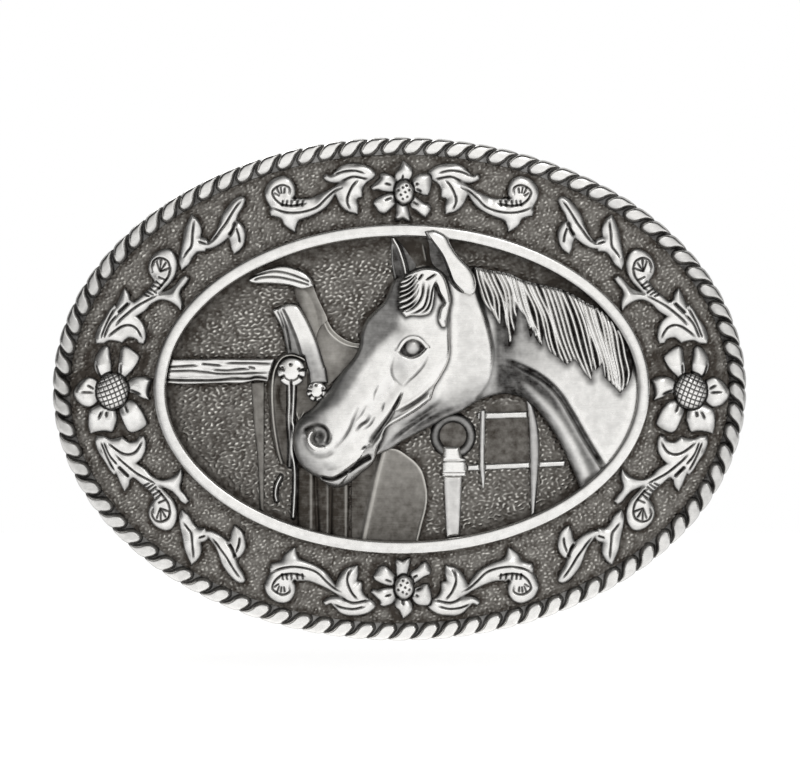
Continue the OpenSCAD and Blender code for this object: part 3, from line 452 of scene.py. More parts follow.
def carve(field, s, heights, wear_and_painted_light, low):
    """The closed solid under a field of heights where s > 0, down to a low face: points, faces and the wear
    and painted light at each point.
    """
    x, z = field.x, field.z
    inner = s > 0
    index = np.full(s.shape, -1)
    index[inner] = np.arange(inner.sum())
    px, pz = x[inner], z[inner]
    ph, pw = heights[inner], wear_and_painted_light[inner]

    def crossings(a, b):
        """New points where the outline crosses the grid lines from a to b."""
        nonlocal px, pz, ph, pw
        cut = inner[a] != inner[b]
        t = np.clip(s[a][cut] / (s[a][cut] - s[b][cut]), SLIVER, 1 - SLIVER)
        numbers = np.full(cut.shape, -1)
        numbers[cut] = len(px) + np.arange(cut.sum())
        mix = [v[a][cut] * (1 - t) + v[b][cut] * t for v in (x, z, heights, wear_and_painted_light)]
        px, pz, ph, pw = (np.concatenate([old, new]) for old, new in zip((px, pz, ph, pw), mix))
        return numbers

    lo, hi = slice(None, -1), slice(1, None)
    along_x = crossings((lo, slice(None)), (hi, slice(None)))
    along_z = crossings((slice(None), lo), (slice(None), hi))
    names = {
        "c0": index[:-1, :-1], "c1": index[1:, :-1], "c2": index[1:, 1:], "c3": index[:-1, 1:],
        "e01": along_x[:, :-1], "e12": along_z[1:, :], "e23": along_x[:, 1:], "e30": along_z[:-1, :],
    }
    code = sum(inner_corner.astype(int) << k for k, inner_corner in enumerate(
        (inner[:-1, :-1], inner[1:, :-1], inner[1:, 1:], inner[:-1, 1:])))
    faces, rim = [], []
    for kind in range(1, 16):
        cells = code == kind
        if not cells.any():
            continue
        polygon = cell_polygon(kind)
        faces += np.column_stack([names[key][cells] for key in polygon]).tolist()
        for here, there in zip(polygon, polygon[1:] + polygon[:1]):
            if here[0] == there[0] == "e":
                rim.append(np.column_stack([names[here][cells], names[there][cells]]))
    rim = np.vstack(rim)
    n = len(px)
    ring = np.unique(rim)
    foot = np.full(n, -1)
    foot[ring] = n + np.arange(len(ring))
    walls = np.column_stack([rim[:, 1], rim[:, 0], foot[rim[:, 0]], foot[rim[:, 1]]]).tolist()

    # the back: the outline, with a few points inside so that it follows the bend
    every = max(1, int(BACK_STEP / field.cell))
    spare = np.zeros(s.shape, bool)
    spare[::every, ::every] = True
    spare &= s > 1.0
    bx = np.concatenate([px[ring], x[spare]])
    bz = np.concatenate([pz[ring], z[spare]])
    order = np.full(n, -1)
    order[ring] = np.arange(len(ring))
    flat = [Vector(p) for p in zip(bx.tolist(), bz.tolist())]
    made = geometry.delaunay_2d_cdt(flat, order[rim].tolist(), [], 2, 1e-7)
    original = [ids[0] if ids else -1 for ids in made[3]]
    back = [[n + original[v] for v in reversed(face)] for face in made[2]
            if all(original[v] >= 0 for v in face)]

    points = np.vstack([bent(px, pz, ph), bent(bx, bz, np.full(len(bx), low))])
    return {"points": points, "faces": faces + walls + back, "wear_and_painted_light": np.concatenate([pw, np.zeros(len(bx))])}


def flipped(solid, across_x, across_z):
    """A carved solid mirrored about the border's upright line, its level line, or both."""
    x, y, z = solid["points"].T
    if across_x:   # the bend is about x = 0, so the height above the back is kept
        h = np.hypot(BEND - y / MM, x / MM) - BEND
        x = 2 * MIRROR_X * MM - x
        y = (BEND - np.sqrt((BEND + h) ** 2 - (x / MM) ** 2)) * MM
    if across_z:
        z = 2 * MIRROR_Z * MM - z
    faces = [face[::-1] for face in solid["faces"]] if across_x != across_z else solid["faces"]
    return {**solid, "points": np.column_stack([x, y, z]), "faces": faces}


def joined(solids):
    """Several carved solids as one."""
    faces, start = [], 0
    for solid in solids:
        faces += [[v + start for v in face] for face in solid["faces"]]
        start += len(solid["points"])
    return {"points": np.vstack([solid["points"] for solid in solids]), "faces": faces,
            "wear_and_painted_light": np.concatenate([solid["wear_and_painted_light"] for solid in solids])}


SLOTS = {part["node"]: part["material_slot"] for part in frame["record"]["subparts"]}


def add_piece(name, solid, material, node=None, slot=None):
    """A Blender object of a solid, riding on the plate and standing for a CAD node."""
    mesh = bpy.data.meshes.new(name)
    mesh.from_pydata(solid["points"].tolist(), [], solid["faces"])
    mesh.update()
    mesh.shade_smooth()
    layer = mesh.attributes.new("wear_and_painted_light", "FLOAT", "POINT")
    layer.data.foreach_set("value", solid["wear_and_painted_light"].astype(np.float32))
    mesh.materials.append(material)
    piece = bpy.data.objects.new(name, mesh)
    bpy.context.scene.collection.objects.link(piece)
    if node:
        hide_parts(node)
    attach(piece, "plate")
    slot or SLOTS[node]


def add_relief(name, node, field, s, h, wear_and_painted_light, material=None, low=PLATE_TOP):
    """A carved piece in the place of one CAD node."""
    add_piece(name, carve(field, s, h, np.clip(wear_and_painted_light, 0, 1), low), material or silver, node)


# ---- Materials ----

class Shader:
    """A small helper round one material's node tree."""

    def __init__(self, name):
        self.material = bpy.data.materials.new(name)
        self.material.use_nodes = True
        self.tree = self.material.node_tree
        self.tree.nodes.clear()
        self.output = self.tree.nodes.new("ShaderNodeOutputMaterial")
        self.surface = self.tree.nodes.new("ShaderNodeBsdfPrincipled")
        self.tree.links.new(self.surface.outputs[0], self.output.inputs[0])

    def node(self, kind, inputs=None, **settings):
        """A node with its inputs, values or other nodes' outputs, and its settings."""
        made = self.tree.nodes.new("ShaderNode" + kind)
        for key, value in settings.items():
            setattr(made, key, value)
        for key, value in (inputs or {}).items():
            self.plug(made.inputs[key], value)
        return made

    def plug(self, socket, value):
        """Sets an input to a value, or links an output to it."""
        if isinstance(value, bpy.types.NodeSocket):
            self.tree.links.new(value, socket)
        else:
            socket.default_value = value

    def noise(self, scale, detail=2.0, roughness=0.5, stretch=(1, 1, 1)):
        """Noise over the object, finer along the axes that are stretched."""
        place = self.node("TexCoord").outputs["Object"]
        spot = self.node("Mapping", {"Vector": place, "Scale": tuple(scale * s for s in stretch)}).outputs[0]
        return self.node("TexNoise", {"Vector": spot, "Scale": 1.0, "Detail": detail, "Roughness": roughness}
                         ).outputs["Fac"]

    def math(self, operation, a, b=0.0, clamp=False):
        """One step of arithmetic."""
        made = self.node("Math", operation=operation, use_clamp=clamp)
        self.plug(made.inputs[0], a)
        self.plug(made.inputs[1], b)
        return made.outputs[0]

    def spread(self, value, low, high, new_low=0.0, new_high=1.0):
        """One range of values laid over another."""
        return self.node("MapRange", {"Value": value, "From Min": low, "From Max": high, "To Min": new_low,
                                      "To Max": new_high}).outputs[0]

    def mix(self, share, a, b):
        """A share of colour b in colour a."""
        made = self.node("Mix", data_type="RGBA")
        self.plug(made.inputs["Factor"], share)
        self.plug(made.inputs[6], a)
        self.plug(made.inputs[7], b)
        return made.outputs[2]

    def bump(self, height, strength, distance):
        """A normal that follows a height."""
        return self.node("Bump", {"Height": height, "Strength": strength, "Distance": distance}).outputs[0]


def metal(name, bright, dark, rough_bright, rough_dark, brushing=0.5):
    """Antiqued metal: a per-point value of wear and painted light mixes black hollows and painted shade into
    polished, finely brushed high places.
    """
    shader = Shader(name)
    wear_and_painted_light = shader.node("Attribute", attribute_name="wear_and_painted_light").outputs["Fac"]
    mottle = shader.noise(900, 4, 0.6)
    brush = shader.noise(1000, 2, 0.5, stretch=(0.35, 0.35, 9.0))
    patchy = shader.math("ADD", wear_and_painted_light, shader.spread(mottle, 0.25, 0.75, -0.12, 0.12))
    fine = shader.spread(brush, 0.3, 0.7, -0.07 * brushing, 0.07 * brushing)
    share = shader.math("ADD", patchy, fine, clamp=True)
    shader.plug(shader.surface.inputs["Base Color"], shader.mix(share, dark + (1,), bright + (1,)))
    shader.surface.inputs["Metallic"].default_value = 1.0
    rough = shader.spread(share, 0, 1, rough_dark, rough_bright)
    rough = shader.math("ADD", rough, shader.spread(brush, 0.3, 0.7, -0.05, 0.05))
    shader.plug(shader.surface.inputs["Roughness"], rough)
    relief = shader.math("MULTIPLY", brush, brushing)
    relief = shader.math("ADD", relief, shader.math("MULTIPLY", mottle, 0.5))
    shader.plug(shader.surface.inputs["Normal"], shader.bump(relief, 0.35, 0.00004))
    return shader.material


PEWTER = (0.86, 0.85, 0.83)
OXIDE = (0.014, 0.012, 0.011)

silver = metal("antiqued silver", PEWTER, OXIDE, 0.24, 0.55)
ground = metal("blackened ground", (0.80, 0.78, 0.73), (0.055, 0.047, 0.040), 0.34, 0.50, brushing=0.15)
grey = metal("grey relief", (0.62, 0.60, 0.56), (0.050, 0.043, 0.036), 0.34, 0.52)


def plated(name, colour, rough):
    """Satin plate on the hardware and the back, with faint brushing and a little dulling."""
    shader = Shader(name)
    brush = shader.noise(900, 3, 0.6, stretch=(6.0, 0.5, 0.5))
    dull = shader.noise(160, 3, 0.6)
    tone_and_sheen = shader.spread(shader.math("ADD", brush, dull), 0.6, 1.4)
    low = tuple(0.72 * c for c in colour)
    shader.plug(shader.surface.inputs["Base Color"], shader.mix(tone_and_sheen, low + (1,), colour + (1,)))
    shader.surface.inputs["Metallic"].default_value = 1.0
    shader.plug(shader.surface.inputs["Roughness"], shader.spread(dull, 0.3, 0.7, rough - 0.06, rough + 0.08))
    shader.plug(shader.surface.inputs["Normal"], shader.bump(brush, 0.25, 0.00003))
    return shader.material


nickel = plated("satin nickel", (0.70, 0.69, 0.66), 0.30)
wire_nickel = plated("drawn nickel wire", (0.74, 0.73, 0.71), 0.22)
back_plate = plated("plain back", (0.60, 0.59, 0.57), 0.36)


def use_material(node, material):
    """Gives a CAD node that is shown as it is its material."""
    slots = frame["nodes"][node].data.materials
    slots.clear()
    slots.append(material)


for hardware in ("hinge_saddle", "hinge_barrel", "prong_pad", "prong"):
    use_material(hardware, nickel)
use_material("bail", wire_nickel)
use_material("base_plate", back_plate)


# ---- Border ----

def ellipse_inside(field, rx, rz, centre=(0.0, 0.0)):
    """Signed distance to an ellipse, near enough close to it."""
    u, v = field.x - centre[0], field.z - centre[1]
    f = np.hypot(u / rx, v / rz)
    slope = np.hypot(u / rx**2, v / rz**2) / np.maximum(f, 1e-6)
    return (1 - f) / np.maximum(slope, 1e-6)


def build_border():
    """The stippled ground between the rope and the rim, with painted shadow along both and, darkest, round
    the ornaments.
    """
    edge = OVAL[0] - ROPE_W, OVAL[1] - ROPE_W
    field = Field((-edge[0], -edge[1]), edge, 0.15)
    s = np.minimum(ellipse_inside(field, *edge) + 0.25, -ellipse_inside(field, *RIM, RIM_CENTRE))
    fine = field.grain(0.60, 0.50, seed=3, spread=0.40)
    coarse = field.grain(1.5, 1.2, seed=4, spread=0.4)
    heights = BORDER_TOP - 0.10 + 0.085 * fine + 0.03 * coarse
    glint = np.maximum(fine - 0.10, 0) ** 1.3 * (0.35 + 0.65 * step(coarse, -0.6, 0.5))
    # painted shadow along the rope and the rim, and round each ornament
    shade = 0.35 + 0.65 * step(s, 0.2, 1.3)
    for outline in [SCROLL_A, SCROLL_B, SPRIG] + TOP_PETALS + SIDE_PETALS:
        for across_x, across_z in ((False, False), (False, True), (True, False), (True, True)):
            d = field.along(smooth(mirrored(outline, across_x, across_z)), reach=1.3, closed=True)[0]
            shade = np.minimum(shade, 0.10 + 0.90 * step(d, 0.15, 1.0))
    add_relief("border_ground", "border_frame", field, s, heights, (0.13 + 0.85 * glint) * shade, ground)


# one lump of the rope: (distance round the rope, step outwards) from its place
LUMP = [
    [-0.44, -0.35], [-0.30, -0.88], [0.10, -1.20], [0.80, -1.22], [1.45, -1.00], [1.98, -0.50], [2.32, 0.02],
    [2.68, 0.42], [3.15, 0.74], [3.78, 1.08, 1], [3.30, 1.26], [2.6, 1.33], [1.8, 1.34], [1.1, 1.25],
    [0.45, 0.88], [-0.12, 0.32],
]


def build_rope():
    """Lumps like drops on a dark core, each with its fat end inside and its tail beside the next lump."""
    mid = OVAL[0] - ROPE_W / 2, OVAL[1] - ROPE_W / 2
    field = Field((-OVAL[0] - 0.3, -OVAL[1] - 0.3), (OVAL[0] + 0.3, OVAL[1] + 0.3), 0.10)
    t = np.linspace(0, 2 * math.pi, 7201)
    line = np.column_stack([mid[0] * np.sin(t), mid[1] * np.cos(t)])
    lengths = np.concatenate([[0], np.cumsum(np.linalg.norm(np.diff(line, axis=0), axis=1))])
    pitch = lengths[-1] / ROPE_LUMPS

    def local(distance, out):
        """A point at a distance round the rope, clockwise from the top, and a step outwards."""
        a = np.interp(distance % lengths[-1], lengths, t)
        outward = np.array([math.sin(a) / mid[0], math.cos(a) / mid[1]])
        place = np.array([mid[0] * math.sin(a), mid[1] * math.cos(a)])
        return place + out * outward / np.linalg.norm(outward)

    core = ellipse_inside(field, *mid)
    s = 1.10 - np.abs(core - 0.02)
    low = PLATE_TOP + 1.25
    h = low - 0.3 * np.clip(np.abs(core) - 0.5, 0, 1)
    # painted light: the rope is lighter along its top and bottom than at its sides
    upright = 1 - (field.x / OVAL[0]) ** 2
    wear_and_painted_light = 0.09 + 0.16 * upright + 0.45 * step(-core, 1.0, 1.2)
    for k in range(ROPE_LUMPS):
        curve = np.array([local(k * pitch + 0.85 + e, n) for e, n in smooth(LUMP)])
        lo, hi = curve.min(0) - 0.4, curve.max(0) + 0.4
        window = field.window(lo[0], lo[1], hi[0], hi[1])
        inside = field.part(window).inside(curve)
        out = -core[window]
        inside = inside - 0.03
        tall = 1.20 - 0.20 * step(out, 0.2, 1.5) - 0.25 * step(-out, 0.2, 1.3)
        lump = low + tall * round_edge(inside, 0.50)
        higher = (inside > 0) & (lump > h[window])
        # a lump's polished top, with painted shade towards its inner end; the outer edge is kept light
        polish_and_shade = step(inside, -0.08, 0.20) * (1 - 0.36 * step(-out, 0.2, 1.15))
        polish_and_shade = np.maximum(polish_and_shade, 0.7 * step(out, 1.0, 1.25))
        h[window] = np.where(higher, lump, h[window])
        wear_and_painted_light[window] = np.where(higher, polish_and_shade, wear_and_painted_light[window])
        s[window] = np.maximum(s[window], inside)
    heights = field.blur(h, 0.06)
    add_relief("rope_lumps", "rope_edge", field, s, heights, wear_and_painted_light * (0.67 + 0.33 * upright))


def sweep(radii, centre, profile, wear_and_painted_light, sides):
    """A ring of one profile, (outward, up from the plate), round an ellipse."""
    points, shades = [], []
    for a in 2 * math.pi * np.arange(sides) / sides:
        out = np.array([math.sin(a) / radii[0], math.cos(a) / radii[1]])
        out /= np.linalg.norm(out)
        for off, up in profile:
            points.append((centre[0] + radii[0] * math.sin(a) + off * out[0],
                           centre[1] + radii[1] * math.cos(a) + off * out[1], PLATE_TOP + up))
            shades.append(wear_and_painted_light(off, up, out[0]))
    n = len(profile)
    faces = []
    for k in range(sides):
        here, there = k * n, (k + 1) % sides * n
        faces += [[here + j, here + (j + 1) % n, there + (j + 1) % n, there + j] for j in range(n)]
    return {"points": bent(*np.array(points).T), "faces": faces, "wear_and_painted_light": np.array(shades)}


def build_rim():
    """The plain inner rim, softly crowned with rounded shoulders."""
    half = RIM_W / 2
    shoulder, crown = 2.55, 0.65
    profile = [(half, 0.0), (half, shoulder)]
    for a in np.linspace(0, math.pi, 17):
        c = math.cos(a)
        flat = math.copysign(abs(c) ** 0.55, c)
        profile.append((half * flat, shoulder + crown * math.sin(a) ** 0.7))
    profile += [(-half, shoulder), (-half, 0.0)]

    def bright(off, up, outward_x):
        """Wear and painted light: dark low on the walls, and painted shade dulls the outer shoulder on the
        left and the inner one on the right.
        """
        dull = 0.62 * step(-off * outward_x, 0.18, 0.52)
        return float(np.clip(0.15 + 0.8 * step(up, 1.6, 3.0) * (1 - dull), 0, 1))

    band = sweep((RIM[0] - half, RIM[1] - half), RIM_CENTRE, profile, bright, sides=480)
    add_piece("rim_band", band, silver, "inner_rim")


# ---- Ornaments of the border ----

SPREAD = 0.10                # how far the carved ornaments stand out past their outlines


def leaf_heights(field, s, grooves, thick_grooves=(), ticks=()):
    """A pillowed leaf with engraved lines: its heights, and how dark the inked lines are."""
    rise = ORNAMENT_TOP - BORDER_TOP
    swell = field.grain(3.4, 3.0, seed=int(abs(field.x[0, 0]) * 10), spread=0.5)
    h = BORDER_TOP + 0.35 + (rise - 0.45) * (0.15 + 0.85 * round_edge(s, 1.15)) + 0.13 * swell
    fine = field.lines(grooves, 0.125)
    thick = field.lines(thick_grooves, 0.20)
    short = field.lines(ticks, 0.12, taper=0)
    ink_and_shade = np.maximum(np.maximum(fine, thick), short)
    return h - 0.40 * fine - 0.52 * thick - 0.30 * short, ink_and_shade


def build_scroll_a():
    """The scrolls either side of the top and bottom flowers."""
    field = Field.around([smooth(SCROLL_A)], 0.10)
    s = field.shape(SCROLL_A) + SPREAD
    eye = [[-15.3, 27.05], [-15.3, 27.94], [-16.4, 28.3], [-17.6, 27.56], [-17.35, 26.5], [-16.47, 25.7],
           [-15.7, 25.5], [-14.8, 25.44], [-13.56, 25.66], [-13.05, 25.8]]
    grooves = [
        [[-17.9, 25.3], [-16.47, 24.7], [-14.8, 24.46], [-12.9, 24.7], [-11.4, 25.3], [-10.14, 26.5],
         [-9.0, 27.5], [-8.05, 27.94]],
        eye,
        [[-5.84, 28.95], [-6.6, 28.06], [-7.16, 26.8], [-7.23, 25.9], [-6.85, 24.9]],
        [[-9.1, 29.7], [-7.86, 30.15], [-6.34, 30.3], [-4.9, 29.96]],
        [[-8.0, 28.8], [-6.47, 29.45], [-4.44, 29.1]],
    ]
    ticks = [[[x, 25.5], [x + 0.1, 26.15]] for x in (-16.3, -15.7, -15.05, -14.25, -13.5)]
    ticks += [[[-17.0, 27.9], [-16.7, 27.2]], [[-16.5, 28.0], [-16.4, 27.3]],
              [[-15.95, 27.9], [-16.05, 27.3]], [[-17.35, 27.2], [-16.8, 26.9]]]
    h, ink_and_shade = leaf_heights(field, s, grooves, ticks=ticks)
    notch = field.blob((-14.55, 26.5), 0.25)
    return field, s, h - 0.35 * notch, np.maximum(ink_and_shade, notch)


def build_scroll_b():
    """The scrolls above and below the side flowers."""
    field = Field.around([smooth(SCROLL_B)], 0.10)
    s = field.shape(SCROLL_B) + SPREAD
    main = [[-33.9, 13.0], [-35.3, 12.24], [-36.57, 11.54], [-37.8, 10.6], [-38.85, 9.7], [-39.54, 8.95]]
    eye = [[-34.4, 16.4], [-34.5, 17.05], [-34.16, 17.9], [-33.28, 18.25], [-32.27, 17.8], [-31.95, 16.9],
           [-32.08, 15.9], [-32.5, 15.15], [-33.4, 14.1], [-34.16, 13.5]]
    grooves = [
        main, eye,
        [[-40.6, 7.3], [-39.7, 8.06], [-38.7, 8.7], [-37.7, 8.9], [-36.8, 8.57], [-36.2, 7.8],
         [-35.87, 7.05]],
        [[-39.7, 11.2], [-40.3, 10.2], [-40.9, 8.9], [-41.6, 7.2]],
        [[-39.35, 10.3], [-40.24, 9.3], [-40.75, 8.4], [-41.2, 7.2]],
    ]
    ticks = [
        [[-33.5, 15.6], [-32.6, 15.2]], [[-33.9, 15.0], [-33.15, 14.4]], [[-34.3, 14.5], [-33.4, 14.0]],
        [[-34.7, 14.0], [-33.9, 13.4]], [[-35.1, 13.6], [-34.3, 13.1]], [[-35.55, 13.25], [-34.9, 12.9]],
    ]
    ticks += [[[-33.28, 16.4], end] for end in ([-33.8, 17.75], [-33.2, 18.0], [-32.5, 17.6], [-32.1, 16.8])]
    h, ink_and_shade = leaf_heights(field, s, grooves, [[[-39.2, 10.6], [-37.7, 12.0]]], ticks)
    return field, s, h, ink_and_shade


def build_sprig():
    """The corner sprigs: a long leaf, a bud in its calyx and a small leaf."""
    field = Field.around([smooth(SPRIG)], 0.10)
    s = field.shape(SPRIG) + SPREAD
    grooves = [
        [[-22.04, 26.14], [-22.69, 25.32], [-23.38, 24.28], [-24.07, 23.15], [-24.85, 22.1], [-25.46, 21.25],
         [-26.15, 20.55]],
        [[-28.6, 23.4], [-28.75, 21.9], [-28.93, 19.95], [-29.45, 19.17], [-30.05, 18.39]],
        [[-27.9, 20.5], [-27.0, 20.2]],
        [[-22.73, 22.46], [-22.34, 21.42], [-22.21, 20.38]],
    ]
    h, ink_and_shade = leaf_heights(field, s, grooves, [[[-22.8, 23.2], [-23.2, 22.1], [-23.7, 21.3]]])
    return field, s, h, ink_and_shade


def build_flower(petals, centre, radii, lines):
    """Petals that rise to a soft ridge, dip towards the flower's middle and droop to their tips."""
    field = Field.around([smooth(p) for p in petals], 0.10)
    rise = ORNAMENT_TOP - BORDER_TOP
    h = np.full(field.x.shape, BORDER_TOP + 0.40)
    s = np.full(field.x.shape, -FAR)
    away = np.hypot(field.x - centre[0], field.z - centre[1])
    reach = max(radii)
    for k, petal in enumerate(petals):
        inside = field.shape(petal) + SPREAD
        s = np.maximum(s, inside)
        tilt = 0.05 * (field.x - np.mean([p[0] for p in petal])) * (-1) ** k
        tall = (rise - 0.40) * (0.15 + 0.85 * round_edge(inside, 1.1)) + tilt * step(inside, 0, 0.8)
        h = np.maximum(h, BORDER_TOP + 0.40 + tall * (inside > 0))
    h = h - 0.25 * (1 - step(away, reach, reach + 1.6)) - 0.25 * step(away, reach + 1.3, reach + 3.4)
    lines_ink = field.lines(lines, 0.14, taper=0.3)
    h = h - 0.36 * lines_ink
    middle = ellipse_inside(field, *radii, centre)
    ring = np.exp(-((middle + 0.08) / 0.10) ** 2)
    h = np.where(middle > 0, BORDER_TOP + 0.75, h) - 0.30 * ring
    h = np.maximum(h, BORDER_TOP + 0.1)
    # painted shade: petals grow duller towards the flower's middle and at their tips
    dull = 0.18 * (1 - step(away, reach, reach + 1.3)) + 0.28 * step(away, reach + 2.2, reach + 4.2)
    return field, np.maximum(s, middle), h, np.maximum(np.maximum(lines_ink, ring), dull)


def build_side_bead():
    """The large flowers' cross-hatched centre."""
    field = Field.around([oval(*SIDE_CENTRE_R, SIDE_CENTRE)], 0.07)
    s = ellipse_inside(field, *SIDE_CENTRE_R, SIDE_CENTRE)
    h = ORNAMENT_TOP - 0.25 + 0.95 * round_edge(s, 2.2)
    c, d = math.cos(math.radians(22)), math.sin(math.radians(22))
    x, z = field.x - SIDE_CENTRE[0], field.z - SIDE_CENTRE[1]
    u, v = x * c + z * d, z * c - x * d
    pitch = 0.66
    ink_and_shade = np.zeros(h.shape)
    for w in (u + 0.03 * v * v, v - 0.04 * u * u):
        ink_and_shade = np.maximum(ink_and_shade, np.exp(-((np.mod(w, pitch) - pitch / 2) / 0.072) ** 2))
    return field, s, h - 0.22 * ink_and_shade, ink_and_shade


def build_top_bead():
    """The small flowers' centre, with punched dots."""
    field = Field.around([oval(*TOP_CENTRE_R, TOP_CENTRE)], 0.07)
    s = ellipse_inside(field, *TOP_CENTRE_R, TOP_CENTRE)
    h = ORNAMENT_TOP - 0.3 + 0.7 * round_edge(s, 1.2)
    ink_and_shade = np.zeros(h.shape)
    for dot in ((-0.2, 27.6), (0.8, 27.3), (1.4, 27.6), (0.15, 26.95), (1.1, 26.65), (0.45, 26.35),
                (0.45, 27.95), (1.0, 28.2)):
        ink_and_shade = np.maximum(ink_and_shade, field.blob(dot, 0.15))
    return field, s, h - 0.28 * ink_and_shade, ink_and_shade


def place_copies(made, names, low=BORDER_TOP - 0.2, gain=1.6):
    """Carves one drawing and sets it at each place, (piece, node, across x, across z)."""
    field, s, h, ink_and_shade = made
    wear_and_painted_light = field.wear_and_painted_light(h, s < 0, base=0.90, gain=gain, size=0.40) * step(s, -0.20, 0.35) * (1 - ink_and_shade)
    # painted shade: the rounded edges are greyer; broad grain varies the tone at random
    wear_and_painted_light = wear_and_painted_light * (0.70 + 0.30 * step(s, 0.15, 1.0)) * (1 + 0.10 * field.grain(5.0, 4.0, seed=7))
    solid = carve(field, s, h, np.clip(wear_and_painted_light, 0, 1), low)
    for name, node, across_x, across_z in names:
        add_piece(name, flipped(solid, across_x, across_z), silver, node)


CORNER_PLACES = (("upper_left", False, False), ("upper_right", True, False), ("lower_left", False, True),
                 ("lower_right", True, True))


def build_ornaments():
    """The scrolls, sprigs and flowers of the border, each drawn once."""
    scroll = build_scroll_a()
    place_copies(scroll, [("scroll_by_flower_1", "scroll_top_left", False, False),
                          ("scroll_by_flower_2", "scroll_bottom_left", False, True)])
    field, s, h, ink_and_shade = scroll
    for petal in TOP_PETALS:   # on the right the scroll ends against the flower
        s = np.minimum(s, -SPREAD - field.shape(mirrored(petal, True, False)))
    place_copies((field, s, h, ink_and_shade), [("scroll_by_flower_3", "scroll_top_right", True, False),
                                      ("scroll_by_flower_4", "scroll_bottom_right", True, True)])
    sprig, side_scroll = build_sprig(), build_scroll_b()
    place_copies(sprig, [("leaf_sprig_" + w, "sprig_" + w, x, z) for w, x, z in CORNER_PLACES])
    place_copies(side_scroll, [("side_scroll_" + w, "scroll_" + "_".join(w.split("_")[::-1]), x, z)
                               for w, x, z in CORNER_PLACES])
    bead_low = BORDER_TOP + 0.5
    lines = [[[-2.0, 28.55], [-1.1, 28.3]], [[-2.0, 26.2], [-1.0, 26.6]], [[1.8, 26.05], [2.5, 25.6]],
             [[2.3, 27.75], [3.0, 27.4]], [[0.5, 29.7], [0.4, 29.0]], [[2.2, 28.4], [2.6, 28.5]]]
    place_copies(build_flower(TOP_PETALS, TOP_CENTRE, TOP_CENTRE_R, lines),
                 [("small_flower_" + w, "flower_" + w, False, w == "bottom") for w in ("top", "bottom")])
    place_copies(build_top_bead(), [("small_flower_eye_" + w, "flower_" + w + "_centre", False, w == "bottom")
                                    for w in ("top", "bottom")], bead_low, gain=1.0)
    lines = [[[-43.5, 0.55], [-42.6, 0.0]], [[-44.45, -0.43], [-42.7, -0.5]],
             [[-41.5, -3.1], [-42.0, -4.15]], [[-40.8, -3.1], [-40.9, -3.85]],
             [[-38.3, -2.1], [-37.9, -3.2]], [[-37.7, -0.15], [-36.0, -0.75]],
             [[-38.8, 3.5], [-38.9, 2.2]], [[-42.4, 3.73], [-41.9, 2.0], [-41.3, 1.6]]]
    place_copies(build_flower(SIDE_PETALS, SIDE_CENTRE, SIDE_CENTRE_R, lines),
                 [("large_flower_" + w, "flower_" + w, w == "right", False) for w in ("left", "right")])
    place_copies(build_side_bead(), [("large_flower_eye_" + w, "flower_" + w + "_centre", w == "right", False)
                                     for w in ("left", "right")], bead_low, gain=0.8)


# ---- Picture: the horse ----

def picture_field(outlines, cell, spare=0):
    """A grid round smooth outlines."""
    return Field.around([smooth(o) for o in outlines], cell, spare)


def within_rim(field, inset=RIM_W):
    """Signed distance to the rim's inner edge, positive inside it."""
    return ellipse_inside(field, RIM[0] - inset, RIM[1] - inset, RIM_CENTRE)


CHEEK = [[6.95, 7.0], [6.9, 5.0], [6.6, 3.5], [6.0, 2.2], [5.0, 1.0], [4.0, 0.0], [2.6, -1.1], [1.2, -2.0],
         [0.0, -2.7], [-0.4, -2.9]]
JAW_GROOVE = [[0.3, -0.5], [-0.3, -1.8], [-1.2, -3.4], [-2.2, -4.9], [-3.1, -6.1], [-4.1, -7.5]]
FACE_RIDGE = [[2.6, 16.5], [1.6, 13.2], [0.6, 10.2], [0.2, 8.2], [-1.2, 6.7], [-2.6, 5.4], [-3.8, 3.8],
              [-5.2, 1.6], [-6.4, -0.4], [-8.0, -2.5], [-10.4, -3.6], [-12.6, -4.0]]
EYE = [[-0.05, 5.2, 1], [0.75, 6.45], [1.75, 6.95], [2.85, 6.6], [3.65, 5.7, 1], [2.7, 4.75], [1.6, 4.35],
       [0.6, 4.6]]


